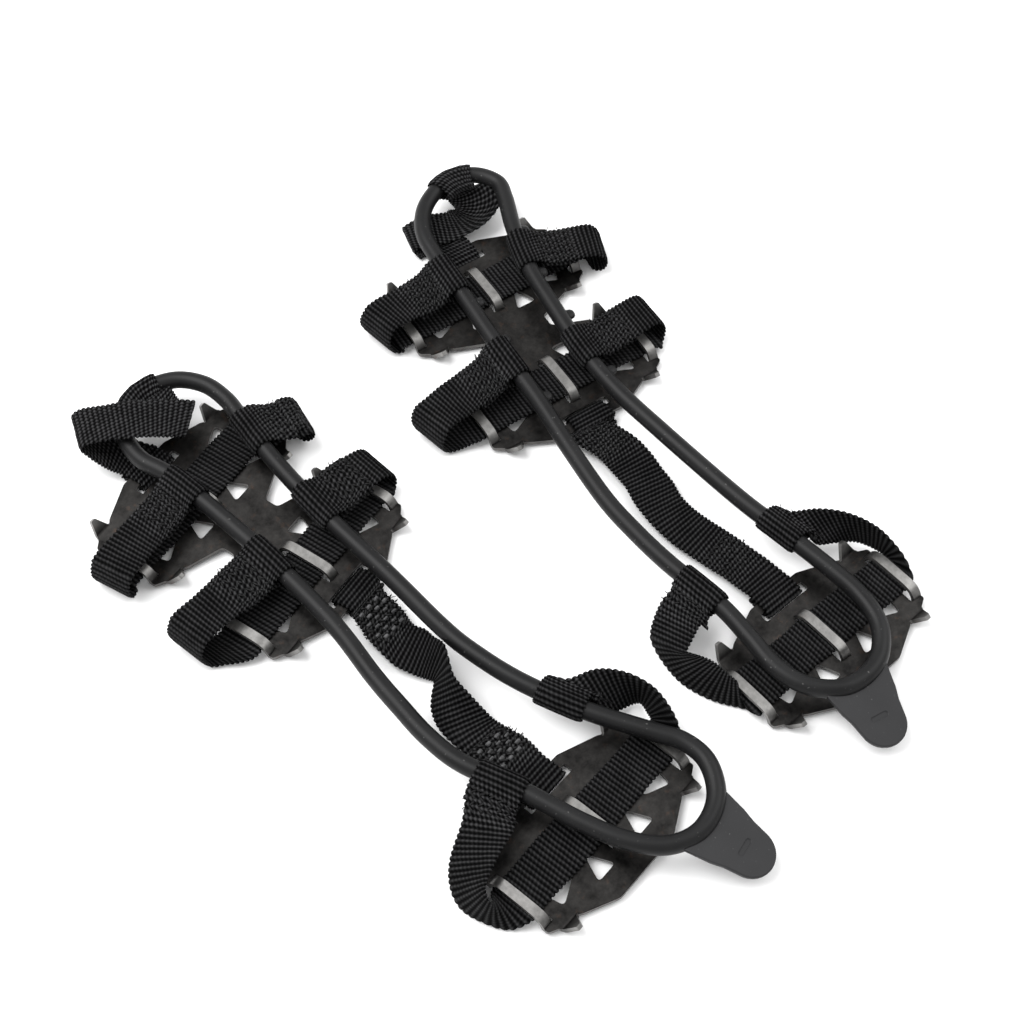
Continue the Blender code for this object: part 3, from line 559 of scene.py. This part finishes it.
def webbing_mesh(name, strip, seed, worn_zones):
    """The closed, ribbed and scalloped solid of a strip. worn_zones are (low, high) along it."""
    chance = random.Random(seed)
    drift = [chance.uniform(-0.45, 0.45) for _ in range(len(strip.rows) // 16 + 3)]
    bm = bmesh.new()
    uv = bm.loops.layers.uv.new("webbing")
    worn = bm.verts.layers.float.new("worn")
    rings = []
    for index in range(len(strip.rows)):
        along_mm = index * strip.step
        inside = max((min(along_mm - low, high - along_mm) for low, high in worn_zones), default=-9)
        wear = max(0.0, min(1.0, 0.5 + inside / 4))
        crest = RIB_PROFILE[index % len(RIB_PROFILE)]
        position = index / 16
        low = int(position)
        blend = position - low
        wander = drift[low] * (1 - blend) + drift[low + 1] * blend
        widen = 1 + (SCALLOP * (crest - 0.5) * 2 + wander) / (WEBBING_WIDTH / 2)
        top, bottom = [], []
        for column in range(COLUMNS):
            share = -1 + 2 * column / (COLUMNS - 1)
            here, along, wide, normal = strip.frame_at(index, share)
            here = here + wide * (widen - 1) * share * WEBBING_WIDTH / 2
            edge = 0.45 if column in (0, COLUMNS - 1) else 1.0
            lift = (WEBBING_THICKNESS / 2 - (1 - crest) * RIB_HEIGHT) * edge
            lift += chance.uniform(-0.04, 0.04) * (1 + 2 * wear)
            where = (share * WEBBING_WIDTH / 2, along_mm)
            for found, offset in ((top, normal * lift), (bottom, -normal * lift)):
                vertex = bm.verts.new((here + offset) * MM)
                vertex[worn] = wear
                found.append((vertex, where))
        rings.append(top + bottom[::-1])
    for first, second in zip(rings, rings[1:]):
        count = len(first)
        for i in range(count):
            j = (i + 1) % count
            corners = (first[i], first[j], second[j], second[i])
            face = bm.faces.new([vertex for vertex, _ in corners])
            face.smooth = True
            for corner, (_, where) in zip(face.loops, corners):
                corner[uv].uv = where
    for ring in (rings[0][::-1], rings[-1]):
        face = bm.faces.new([vertex for vertex, _ in ring])
        for corner, (_, where) in zip(face.loops, ring):
            corner[uv].uv = where
    bmesh.ops.recalc_face_normals(bm, faces=bm.faces)
    mesh = bpy.data.meshes.new(name)
    bm.to_mesh(mesh)
    bm.free()
    return mesh


def add_thread(bm, start, end, normal, radius):
    """One visible stitch, a low round bar that dips into the webbing at both ends."""
    direction = (end - start).normalized()
    wide = direction.cross(normal).normalized()
    rings = []
    for share, rise in ((0.0, -0.25), (0.18, 0.7), (0.5, 1.0), (0.82, 0.7), (1.0, -0.25)):
        centre = start.lerp(end, share) + normal * radius * rise
        rings.append([
            bm.verts.new((centre + (wide * math.cos(a) + normal * math.sin(a)) * radius) * MM)
            for a in (math.tau * k / 6 for k in range(6))
        ])
    for first, second in zip(rings, rings[1:]):
        for i in range(6):
            j = (i + 1) % 6
            bm.faces.new((first[i], first[j], second[j], second[i])).smooth = True
    bm.faces.new(rings[0][::-1])
    bm.faces.new(rings[-1])


TACK_PITCH = 3.0
TACK_RADIUS = 0.75


def stitch_line(bm, strip, start, end, side, stitch=2.4, radius=0.36):
    """Stitches in a line between two (distance along, share across) places. side is +1 or -1."""
    length = math.hypot(end[0] - start[0], (end[1] - start[1]) * WEBBING_WIDTH / 2)
    count = max(1, round(length / stitch))
    for number in range(count):
        ends = []
        for share in ((number + 0.1) / count, (number + 0.9) / count):
            along = start[0] + (end[0] - start[0]) * share
            wide = start[1] + (end[1] - start[1]) * share
            here, _, _, normal = strip.frame_at(round(along / strip.step), wide)
            ends.append((here + normal * side * (WEBBING_THICKNESS / 2 - 0.1), normal * side))
        add_thread(bm, ends[0][0], ends[1][0], ends[0][1], radius)


def sewn_zone(bm, strip, low, high, heavy, chance):
    """Rows of thick slanting stitches over a zone of the strip, on the face that looks up."""
    middle = round((low + high) / 2 / strip.step)
    side = 1 if strip.frame_at(middle, 0)[3].z > 0 else -1
    low, high = min(low, high), max(low, high)
    stitch_line(bm, strip, (low, -0.86), (low, 0.86), side)
    pitch, thick = (2.9, 0.5) if heavy else (2.15, 0.36)
    steps = max(1, round((high - low) / pitch))
    for centre in (-0.72, -0.36, 0.0, 0.36, 0.72):
        for number in range(steps):
            sway = (0.11 if number % 2 else -0.11) + chance.uniform(-0.03, 0.03)
            slide = chance.uniform(-0.35, 0.35)
            start = low + (high - low) * (number + 0.1) / steps + slide
            end = low + (high - low) * (number + 0.85) / steps + slide
            stitch_line(bm, strip, (start, centre + sway), (end, centre - sway), side, 9, thick)


def tack_rows(bm, strip, low, high):
    """Short pale tacks in a chequered grid, where the sewing of a strap's end shows."""
    middle = round((low + high) / 2 / strip.step)
    side = 1 if strip.frame_at(middle, 0)[3].z > 0 else -1
    low, high = min(low, high), max(low, high)
    rows = round((high - low) / TACK_PITCH)
    for number in range(1, rows):
        at = low + (high - low) * number / rows
        for centre in ((-0.6, -0.1, 0.4) if number % 2 else (-0.35, 0.15, 0.65)):
            for shift in (-0.5, 0.0, 0.5):
                start = (at - 0.85, centre + shift * 0.1)
                end = (at + 0.85, centre + shift * 0.1)
                stitch_line(bm, strip, start, end, side, 9, TACK_RADIUS)


def add_frays(bm, strip, along, side_share, chance, count=5):
    """Loose thread ends at an edge of the strip."""
    for _ in range(count):
        here, direction, wide, normal = strip.frame_at(round(along / strip.step), side_share)
        if normal.z < 0:
            normal = -normal
        here = here + direction * chance.uniform(-5, 5) + normal * 0.5
        aim = wide * math.copysign(1, side_share) + direction * chance.uniform(-0.8, 0.8)
        aim = (aim + normal * chance.uniform(0.1, 0.7)).normalized()
        length = chance.uniform(0.8, 2.0)
        droop = direction * chance.uniform(-0.5, 0.5) * length
        bend = here + aim * length * 0.55
        add_thread(bm, here, bend, normal, 0.2)
        add_thread(bm, bend, bend + aim * length * 0.4 + droop * 0.5, normal, 0.17)


# ---------------------------------------------------------------- rubber


def tube_mesh(name, route, radius, sides=24):
    bm = bmesh.new()
    uv = bm.loops.layers.uv.new("tube")
    rings = []
    count = len(route)
    for index, centre in enumerate(route):
        along = (route[(index + 1) % count] - route[index - 1]).normalized()
        wide = along.cross(Vector((0, 0, 1))).normalized()
        up = wide.cross(along)
        ring = []
        for k in range(sides):
            angle = math.tau * k / sides
            seam = 0.10 if k == 0 else 0.0
            direction = wide * math.cos(angle) + up * math.sin(angle)
            ring.append(bm.verts.new((centre + direction * (radius + seam)) * MM))
        rings.append(ring)
    for index in range(count):
        first, second = rings[index], rings[(index + 1) % count]
        for i in range(sides):
            j = (i + 1) % sides
            face = bm.faces.new((first[i], first[j], second[j], second[i]))
            face.smooth = True
            for corner, where in zip(face.loops, ((i, index), (i + 1, index), (i + 1, index + 1),
                                                  (i, index + 1))):
                corner[uv].uv = (where[0] / sides, where[1] / count)
    bmesh.ops.recalc_face_normals(bm, faces=bm.faces)
    mesh = bpy.data.meshes.new(name)
    bm.to_mesh(mesh)
    bm.free()
    return mesh


def add_lug(bm, route, place, outward):
    """A small moulded nub on the side of the ring. outward is its direction from the ring."""
    centre, along = route_at(route, place, 0)
    out = polar(outward)
    out = (out - along * out.dot(along)).normalized()
    up = along.cross(out)
    rings = []
    for reach, size in ((2.4, 2.6), (4.6, 2.5), (6.0, 2.2), (6.9, 1.5), (7.2, 0.5)):
        rings.append([
            bm.verts.new((centre + out * reach + along * math.cos(a) * size * 1.15
                          + up * math.sin(a) * size * 0.62) * MM)
            for a in (math.tau * k / 12 for k in range(12))
        ])
    for first, second in zip(rings, rings[1:]):
        for i in range(12):
            j = (i + 1) % 12
            bm.faces.new((first[i], first[j], second[j], second[i])).smooth = True
    bm.faces.new(rings[0][::-1])
    bm.faces.new(rings[-1])


def lugs_mesh(name, route, lugs):
    bm = bmesh.new()
    for place, outward in lugs:
        add_lug(bm, route, place, outward)
    bmesh.ops.recalc_face_normals(bm, faces=bm.faces)
    mesh = bpy.data.meshes.new(name)
    bm.to_mesh(mesh)
    bm.free()
    return mesh


def tab_mesh(name, length):
    """The pull tab lying along +X from its root at the origin, with a plain recessed bar."""
    inner = 2.2
    outline = []
    for angle in (-34, -25, -16, -8, 0, 8, 16, 25, 34):
        reach = TAB_ROOT_RADIUS - inner
        outline.append(Vector((reach * math.cos(math.radians(angle)) - TAB_ROOT_RADIUS,
                               reach * math.sin(math.radians(angle)))))
    tip = length - 10.5
    outline += [Vector((tip * 0.3, 13.3)), Vector((tip * 0.65, 11.6))]
    for step in range(17):
        angle = math.radians(84 - 10.5 * step)
        outline.append(Vector((tip + 10.5 * math.cos(angle), 10.5 * math.sin(angle))))
    outline += [Vector((tip * 0.65, -11.6)), Vector((tip * 0.3, -13.3))]
    bar = [Vector((12.5 + 1.3 * math.cos(math.tau * k / 24),
                   (3.0 if k <= 12 else -3.0) + 1.3 * math.sin(math.tau * k / 24)))
           for k in range(25)]
    half = TAB_THICKNESS / 2
    bm = bmesh.new()

    def ring_of(points, z, shrink=0.0):
        centre = sum(points, Vector((0, 0))) / len(points)
        return [bm.verts.new((*(p + (centre - p).normalized() * shrink), z)) for p in points]

    def wall(low, high):
        for i, vertex in enumerate(low):
            j = (i + 1) % len(low)
            bm.faces.new((vertex, low[j], high[j], high[i])).smooth = True

    layers = [ring_of(outline, z, d) for z, d in
              ((-half, 0.7), (-half + 0.3, 0.15), (-half + 0.9, 0), (half - 0.9, 0),
               (half - 0.3, 0.15), (half, 0.7))]
    for low, high in zip(layers, layers[1:]):
        wall(low, high)
    bm.faces.new(layers[0][::-1])
    rim, floor = ring_of(bar, half), ring_of(bar, half - 0.55, 0.3)
    wall(rim, floor)
    bm.faces.new(floor)
    edges = []
    for loop_points in (layers[-1], rim):
        for i, vertex in enumerate(loop_points):
            following = loop_points[(i + 1) % len(loop_points)]
            edges.append(bm.edges.get((vertex, following)))
    bmesh.ops.triangle_fill(bm, use_beauty=True, edges=edges)
    bmesh.ops.recalc_face_normals(bm, faces=bm.faces)
    bmesh.ops.scale(bm, vec=(MM, MM, MM), verts=bm.verts)
    mesh = bpy.data.meshes.new(name)
    bm.to_mesh(mesh)
    bm.free()
    return mesh


# ---------------------------------------------------------------- steel


def rounded_outline(corners, steps=5):
    """The closed outline through (x, y, radius) corners, with an arc of its radius at each."""
    points = []
    for index, (x, y, radius) in enumerate(corners):
        here = Vector((x, y))
        before = Vector(corners[index - 1][:2]) - here
        after = Vector(corners[(index + 1) % len(corners)][:2]) - here
        reach = radius / math.tan(before.angle(after) / 2)
        start = here + before.normalized() * reach
        end = here + after.normalized() * reach
        for step in range(steps + 1):
            share = step / steps
            points.append(start * (1 - share) ** 2 + here * 2 * share * (1 - share) + end * share**2)
    return points


def mirrored(corners):
    """The whole outline from its right half, listed from the toe to the heel."""
    return list(corners) + [(-x, y, radius) for x, y, radius in reversed(corners)]


def slot(x, y, half_width, half_height):
    return [
        (x + half_width, y + half_height, 0.7),
        (x + half_width, y - half_height, 0.7),
        (x - half_width, y - half_height, 0.7),
        (x - half_width, y + half_height, 0.7),
    ]


def bridge_slits(y):
    """The slits beside the raised bridges of one cross strap."""
    half = BRIDGE_FOOT + 0.3
    found = []
    for side in (-1, 1):
        found.append([(x, v, 0.35) for x, v, _ in slot(side * (BRIDGE_WIDTH / 2 + 0.5), y, 0.5, half)])
        inner = WING_END - BRIDGE_WIDTH - 0.5
        found.append([(x, v, 0.35) for x, v, _ in slot(side * inner, y, 0.5, half)])
    return found


def triangle_hole(x, y, towards):
    return [
        (x - 5.2, y - towards * 5.2, 1.5),
        (x, y + towards * 6.9, 1.7),
        (x + 5.2, y - towards * 5.2, 1.5),
    ]


def wing_hole(x_sign, y, towards):
    return [
        (x_sign * 35.5, y + towards * 3.5, 1.8),
        (x_sign * 33.8, y - towards * 4.6, 1.8),
        (x_sign * 21.5, y + towards * 1.0, 1.2),
    ]


def holes(y, sides):
    found = []
    for side in sides:
        edge = y + side * WEBBING_WIDTH / 2
        for x_sign in (-1, 1):
            found.append(triangle_hole(x_sign * 12.4, edge + side * 3.2, -side))
            found.append(wing_hole(x_sign, edge - side * 0.4, -side))
    return found


def ear(y, outward):
    """Corners of a tooth before it is bent up, from its inner to its outer foot."""
    return [
        (TOOTH_X - 4.6, y + outward * 0.6, 0.9),
        (TOOTH_X - 1.3, y + outward * TOOTH_LENGTH, 0.8),
        (TOOTH_X + 1.0, y + outward * TOOTH_LENGTH, 0.8),
        (TOOTH_X + 4.2, y - outward * 1.0, 0.9),
    ]


def wing(y, toe_edge, heel_edge):
    return [
        *ear(y + toe_edge, 1),
        (WING_END, y + 16.4, 1.4),
        (WING_END, y - 16.4, 1.4),
        *reversed(ear(y - heel_edge, -1)),
    ]


def flat_mesh(outlines):
    """A flat filled mesh of an edge and holes, in millimetres."""
    curve = bpy.data.curves.new("outline", "CURVE")
    curve.dimensions = "2D"
    curve.fill_mode = "FRONT"
    for outline in outlines:
        spline = curve.splines.new("POLY")
        spline.points.add(len(outline) - 1)
        for point, place in zip(spline.points, outline):
            point.co = (place.x, place.y, 0, 1)
        spline.use_cyclic_u = True
    holder = bpy.data.objects.new("outline", curve)
    bpy.context.scene.collection.objects.link(holder)
    graph = bpy.context.evaluated_depsgraph_get()
    mesh = bpy.data.meshes.new_from_object(holder.evaluated_get(graph))
    bpy.data.objects.remove(holder, do_unlink=True)
    return mesh


def plate_mesh(name, half_outline, cut_outs, strap_rows, tooth_edges):
    """Stamped sheet: cut flat, with its bridges pushed up and its teeth bent up."""
    outlines = [rounded_outline(mirrored(half_outline))]
    outlines += [rounded_outline(corners) for corners in cut_outs]
    for y in strap_rows:
        outlines += [rounded_outline(corners, 2) for corners in bridge_slits(y)]
    mesh = flat_mesh(outlines)
    bm = bmesh.new()
    bm.from_mesh(mesh)
    bmesh.ops.remove_doubles(bm, verts=bm.verts, dist=0.005)
    bmesh.ops.dissolve_limit(bm, angle_limit=0.01, verts=bm.verts, edges=bm.edges)
    cuts = []
    for y in strap_rows:
        for side in (-1, 1):
            for distance in (3.0, 5.5, 7.5, 9.0, 10.3, 11.3, 12.1, 12.8, 13.4, 13.8, BRIDGE_FOOT):
                cuts.append(y + side * distance)
        cuts.append(y)
    for y, outward in tooth_edges:
        cuts += [y + outward * step for step in (-0.6, 0.0, 0.6, 1.2, 1.9)]
    planes = [((0, y, 0), (0, 1, 0)) for y in cuts]
    for side in (-1, 1):
        for x in (BRIDGE_WIDTH / 2, WING_END - BRIDGE_WIDTH, TOOTH_X - 5.2):
            planes.append(((side * x, 0, 0), (1, 0, 0)))
    for place, normal in planes:
        geometry = list(bm.verts) + list(bm.edges) + list(bm.faces)
        bmesh.ops.bisect_plane(bm, geom=geometry, plane_co=place, plane_no=normal)
    bmesh.ops.triangulate(bm, faces=bm.faces)
    wear = bm.verts.layers.float.new("wear")
    end_low = WING_END - BRIDGE_WIDTH - 0.01
    for vertex in bm.verts:
        x, y = abs(vertex.co.x), vertex.co.y
        row = min(strap_rows, key=lambda v: abs(v - y))
        distance = abs(y - row)
        on_bridge = x < BRIDGE_WIDTH / 2 + 0.01 or x > end_low
        if on_bridge and distance < BRIDGE_FOOT:
            share = 1 - (distance / BRIDGE_FOOT) ** 7
            vertex.co.z = BRIDGE_LIFT * share
            vertex[wear] = 0.1 + 0.4 * share * share
        for edge, outward in tooth_edges:
            past = (y - edge) * outward + 0.6
            if past > 0 and x > TOOTH_X - 5.2 and past < TOOTH_LENGTH + 2:
                bend = 2.5
                angle = min(past / bend, 1) * TOOTH_RISE
                radius = bend / TOOTH_RISE
                run, rise = radius * math.sin(angle), radius * (1 - math.cos(angle))
                rest = max(0.0, past - bend)
                run += rest * math.cos(TOOTH_RISE)
                rise += rest * math.sin(TOOTH_RISE)
                vertex.co.y = edge + outward * (run - 0.6)
                vertex.co.z = rise
                vertex[wear] = min(0.4, rest / TOOTH_LENGTH)
    bmesh.ops.recalc_face_normals(bm, faces=bm.faces)
    if sum(face.normal.z for face in bm.faces) < 0:
        bmesh.ops.reverse_faces(bm, faces=bm.faces)
    bmesh.ops.scale(bm, vec=(MM, MM, MM), verts=bm.verts)
    mesh.name = name
    bm.to_mesh(mesh)
    bm.free()
    for polygon in mesh.polygons:
        polygon.use_smooth = True
    return mesh


def front_plate_mesh():
    edge = 20.0
    half = [(14.0, FRONT_TOE_EDGE, 5.0), (31.5, FORE_STRAP_Y + edge + 2.2, 2.0)]
    half += wing(FORE_STRAP_Y, edge, edge)
    half += [(31.5, FORE_STRAP_Y - edge - 2.2, 2.0), (15.2, 35.8, 2.6), (15.2, 29.0, 2.6)]
    half += [(31.5, edge + 2.2, 2.0)]
    half += wing(0, edge, edge)
    half += [(31.5, -edge - 2.2, 2.0), (19.0, FRONT_REAR_EDGE, 4.0)]
    cut_outs = [
        slot(0, TOE_SLOT_Y, 13.0, 2.2),
        slot(0, REAR_SLOT_Y, 12.7, 2.2),
        *holes(FORE_STRAP_Y, (-1,)),
        *[wing_hole(side, FORE_STRAP_Y + 11.2, -1) for side in (-1, 1)],
        *[triangle_hole(side * 12.2, 12.6, -1) for side in (-1, 1)],
        *[wing_hole(side, -9.6, 1) for side in (-1, 1)],
    ]
    teeth = ((FORE_STRAP_Y + edge, 1), (FORE_STRAP_Y - edge, -1), (edge, 1), (-edge, -1))
    return plate_mesh("front_plate_looks", half, cut_outs, (FORE_STRAP_Y, 0), teeth)


def heel_plate_mesh():
    edge = 19.6
    half = [(14.0, HEEL_FRONT_EDGE, 5.0), (31.5, edge + 2.2, 2.0)]
    half += wing(0, edge, edge)
    half += [(31.5, -edge - 2.2, 2.0), (17.0, -HEEL_FRONT_EDGE, 5.0)]
    cut_outs = [slot(0, HEEL_SLOT_Y, 12.7, 2.2), *holes(0, (-1,))]
    return plate_mesh("heel_plate_looks", half, cut_outs, (0,), ((edge, 1), (-edge, -1)))


# ---------------------------------------------------------------- the pieces


MATERIALS = {
    "webbing": webbing_material("nylon_webbing"),
    "thread": thread_material("thread", ((0.35, (0.0035, 0.0035, 0.0036)),
                                         (0.7, (0.0185, 0.0185, 0.019)))),
    "tack": thread_material("worn_tacks", ((0.35, (0.045, 0.045, 0.046)),
                                           (0.7, (0.11, 0.11, 0.113)))),
    "ring": rubber_material("ring_rubber_looks", (0.0040, 0.0040, 0.0043), (0.0088, 0.0088, 0.0092),
                            0.42),
    "tab": rubber_material("tab_rubber", (0.0185, 0.0185, 0.0195), (0.0255, 0.0255, 0.0268), 0.5),
    "steel": steel_material("dark_steel", (0.0062, 0.0059, 0.0057), (0.040, 0.038, 0.0364), 0.36,
                            (0.45, 0.443, 0.43), 0.22),
    "cut_steel": steel_material("cut_steel", (0.037, 0.036, 0.035), (0.15, 0.146, 0.142), 0.33,
                                (0.45, 0.443, 0.43), 0.25),
}


def new_piece(name, mesh, materials):
    piece = bpy.data.objects.new(name, mesh)
    mesh.materials.clear()
    for material in materials:
        mesh.materials.append(MATERIALS[material])
    bpy.context.scene.collection.objects.link(piece)
    return piece


def placed(piece, crampon):
    piece.matrix_world = Matrix.Translation((*[v * MM for v in crampon["origin"]], 0))
    return piece


def add_plate(crampon, part, mesh, body):
    x, y, yaw = crampon[part]
    name = f"{crampon['name']}_{part}"
    piece = new_piece(name + "_stamped", mesh.copy(), ("steel", "cut_steel"))
    base = Matrix.Translation((*[v * MM for v in crampon["origin"]], 0))
    turn = Matrix.Rotation(math.radians(yaw), 4, "Z")
    piece.matrix_world = base @ Matrix.Translation((x * MM, y * MM, (PLATE_BOTTOM + 1) * MM)) @ turn
    thick = piece.modifiers.new("sheet thickness", "SOLIDIFY")
    thick.thickness = STEEL * MM
    thick.offset = 0
    thick.material_offset_rim = 1
    bevel = piece.modifiers.new("rubbed edges", "BEVEL")
    bevel.width = 0.3 * MM
    bevel.segments = 2
    bevel.limit_method = "ANGLE"
    bevel.angle_limit = math.radians(50)
    bevel.material = 1
    bevel.harden_normals = True
    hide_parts(name)
    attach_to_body(piece, body)


def add_strap(crampon, part, strip, zones, attach, seed):
    """A strap with its threads. zones are sewn ones as (low, high, heavy) along the strip."""
    name = f"{crampon['name']}_{part}"
    worn = [(min(low, high) - 3, max(low, high) + 4) for low, high, _ in zones]
    if part == "toe_strap":
        worn = [(0, strip.length)]
    mesh = webbing_mesh(name, strip, seed, worn)
    piece = new_piece(name + "_webbing", mesh, ("webbing",))
    made = [piece]
    if zones:
        threads = bmesh.new()
        chance = random.Random(seed)
        for low, high, heavy in zones:
            sewn_zone(threads, strip, low, high, heavy, chance)
            for edge in (-0.98, 0.98):
                add_frays(threads, strip, (low + high) / 2, edge, chance, 6 if heavy else 2)
        mesh = bpy.data.meshes.new(name + "_threads")
        threads.to_mesh(mesh)
        threads.free()
        made.append(new_piece(name + "_threads", mesh, ("thread",)))
        if zones[0][2]:
            tacks = bmesh.new()
            for low, high, _ in zones:
                tack_rows(tacks, strip, low, high)
            mesh = bpy.data.meshes.new(name + "_tacks")
            tacks.to_mesh(mesh)
            tacks.free()
            made.append(new_piece(name + "_tacks", mesh, ("tack",)))
    for found in made:
        placed(found, crampon)
        attach(found)
    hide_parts(name)


def bar_hook(pose, slot_y, edge_y, width_yaw, roll=0, tail=26.0):
    """Rows of webbing through a slot and back under the bar, with its tail under the top layer."""
    outward = 1 if edge_y > slot_y else -1
    heights = (
        (edge_y + outward * 3, WEBBING_ON_PLATE),
        (slot_y + outward * 2.6, WEBBING_ON_PLATE + 0.1),
        (slot_y, WEBBING_ON_PLATE - 1.0),
        (slot_y - outward * 0.9, (PLATE_TOP + PLATE_BOTTOM) / 2),
        (slot_y, WEBBING_UNDER_PLATE + 0.9),
        (slot_y + outward * 2.6, WEBBING_UNDER_PLATE),
        (edge_y + outward * 5, WEBBING_UNDER_PLATE + 0.3),
    )
    return [across(plate_point(pose, 0, y, z), width_yaw, roll) for y, z in heights]


def build(crampon, meshes, seed):
    name = crampon["name"]
    front, heel = name + "_front", name + "_heel"
    route = smooth([Vector((x, y, RING_Z)) for x, y in crampon["ring"]], 10, closed=True)

    def ride_front(piece):
        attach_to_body(piece, front)

    def ride_heel(piece):
        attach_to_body(piece, heel)

    def bend(piece):
        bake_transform(piece)

    add_plate(crampon, "front_plate", meshes["front"], front)
    add_plate(crampon, "heel_plate", meshes["heel"], heel)

    ring = new_piece(name + "_ring", tube_mesh(name + "_ring", route, RING_RADIUS), ("ring",))
    placed(ring, crampon)
    bend(ring)
    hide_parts(name + "_ring_front", name + "_ring_rear")
    if crampon["lugs"]:
        lugs = new_piece(name + "_ring_lugs", lugs_mesh(name, route, crampon["lugs"]), ("ring",))
        placed(lugs, crampon)
        bend(lugs)
    add_tab(crampon)

    for number, (part, pose, row_y, attach) in enumerate((
        ("fore_strap", crampon["front_plate"], FORE_STRAP_Y, ride_front),
        ("aft_strap", crampon["front_plate"], 0, ride_front),
        ("heel_strap", crampon["heel_plate"], 0, ride_heel),
    )):
        loops = crampon[part.replace("strap", "loops")]
        if part == "heel_strap":
            row_y = HEEL_STRAP_Y
            left = standing_loop(route, pose, -1, loops[0])
            right = standing_loop(route, pose, 1, loops[1])
            yaw, sewn = 270 + pose[2], 9
        else:
            left = loop(route, pose, row_y, -1, loops[0])
            right = loop(route, pose, row_y, 1, loops[1])
            yaw, sewn = 90 + pose[2], 17
        middle = across(plate_point(pose, 0, row_y, WEBBING_ON_PLATE), yaw)
        strip = Strip([*left, middle, *reversed(right)])
        first, last = strip.at_row[12] + 1.0, strip.at_row[-13] - 1.0
        zones = ((first, first + sewn, False), (last, last - sewn, False))
        add_strap(crampon, part, strip, zones, attach, seed + number)

    contact, leaves = crampon["toe_wrap"]
    if "toe_rows" in crampon:
        rows = sleeve(route, contact, leaves, 0, tail=8.0)[3:][::-1]
        rows += [between(*station) for station in crampon["toe_rows"]]
        last_yaw = -189
    else:
        rows = sleeve(route, contact, leaves, crampon["toe_strap"][0][1], tail=9.0)[2:-2]
        rows += [across(*station) for station in crampon["toe_strap"]]
        last_yaw = crampon["toe_strap"][-1][1]
    rows += bar_hook(crampon["front_plate"], TOE_SLOT_Y, FRONT_TOE_EDGE, last_yaw)
    add_strap(crampon, "toe_strap", Strip(rows), (), ride_front, seed + 5)

    stations = crampon["mid_strap"]
    pose, heel_pose = crampon["front_plate"], crampon["heel_plate"]
    at_front = bar_hook(pose, REAR_SLOT_Y, FRONT_REAR_EDGE, pose[2])
    at_heel = bar_hook(heel_pose, HEEL_SLOT_Y, HEEL_FRONT_EDGE, heel_pose[2])
    rows = [*reversed(at_front), *map(row_at, stations), *at_heel]
    strip = Strip(rows)
    front_end, heel_end = strip.at_row[6] + 3, strip.at_row[-8] + 3
    heavy = crampon["name"] == "left"
    zones = [(front_end, front_end + 22, heavy), (heel_end, heel_end - 17, heavy)]
    add_strap(crampon, "mid_strap", strip, zones, bend, seed + 6)


def add_tab(crampon):
    """The pull tab, moulded to the heel bend of the ring."""
    tab = crampon["tab"]
    name = crampon["name"]
    piece = new_piece(name + "_pull_tab_moulded", tab_mesh(name + "_pull_tab", tab["length"]), ("tab",))
    base = Matrix.Translation((*[v * MM for v in crampon["origin"]], 0))
    centre = Matrix.Translation((*[v * MM for v in tab["centre"]], 0))
    turn = Matrix.Rotation(math.radians(tab["direction"]), 4, "Z")
    hinge = Matrix.Translation((TAB_ROOT_RADIUS * MM, 0, (RING_Z - 2.4 + TAB_THICKNESS / 2) * MM))
    lean = Matrix.Rotation(math.radians(-tab["slope"]), 4, "Y")
    piece.matrix_world = base @ centre @ turn @ hinge @ lean
    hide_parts(name + "_pull_tab")
    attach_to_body(piece, name + "_tab")


def add_stage():
    """Pale floor, soft studio light and the camera."""
    mesh = bpy.data.meshes.new("floor")
    size = 6.0
    corners = [(-size, -size, 0), (size, -size, 0), (size, size, 0), (-size, size, 0)]
    mesh.from_pydata(corners, [], [(0, 1, 2, 3)])
    floor = bpy.data.objects.new("floor", mesh)
    material, _, _ = new_material("pale_floor", (0.93, 0.93, 0.93), 0.9, specular=0.1)
    mesh.materials.append(material)
    bpy.context.scene.collection.objects.link(floor)

    world = bpy.data.worlds.new("studio")
    world.use_nodes = True
    world.node_tree.nodes["Background"].inputs["Color"].default_value = (1, 1, 1, 1)
    world.node_tree.nodes["Background"].inputs["Strength"].default_value = 0.9
    bpy.context.scene.world = world

    centre = Vector((0.0, 0.0, 0.0))
    for name, place, size, power in (
        ("key", (-0.6, 0.7, 1.5), 1.5, 33.0),
        ("fill", (1.1, -0.4, 1.3), 1.4, 12.0),
    ):
        light = bpy.data.lights.new(name, "AREA")
        light.shape = "DISK"
        light.size = size
        light.energy = power
        holder = bpy.data.objects.new(name, light)
        holder.location = place
        holder.rotation_euler = (centre - Vector(place)).to_track_quat("-Z", "Y").to_euler()
        bpy.context.scene.collection.objects.link(holder)

    data = bpy.data.cameras.new("camera")
    data.lens = 63.63
    data.sensor_width = 36
    data.clip_start = 0.01
    camera = bpy.data.objects.new("camera", data)
    place = Vector((-282.6, -311.5, 678.7)) * MM
    target = Vector((10.57, 14.08, 4.1)) * MM
    camera.location = place
    camera.rotation_euler = (target - place).to_track_quat("-Z", "Y").to_euler()
    bpy.context.scene.collection.objects.link(camera)
    bpy.context.scene.camera = camera
    settings = bpy.context.scene.view_settings
    settings.view_transform = "Standard"
    settings.look = "None"


def main():
    add_stage()
    meshes = {"front": front_plate_mesh(), "heel": heel_plate_mesh()}
    for number, crampon in enumerate(CRAMPONS):
        build(crampon, meshes, 100 * number)


main()
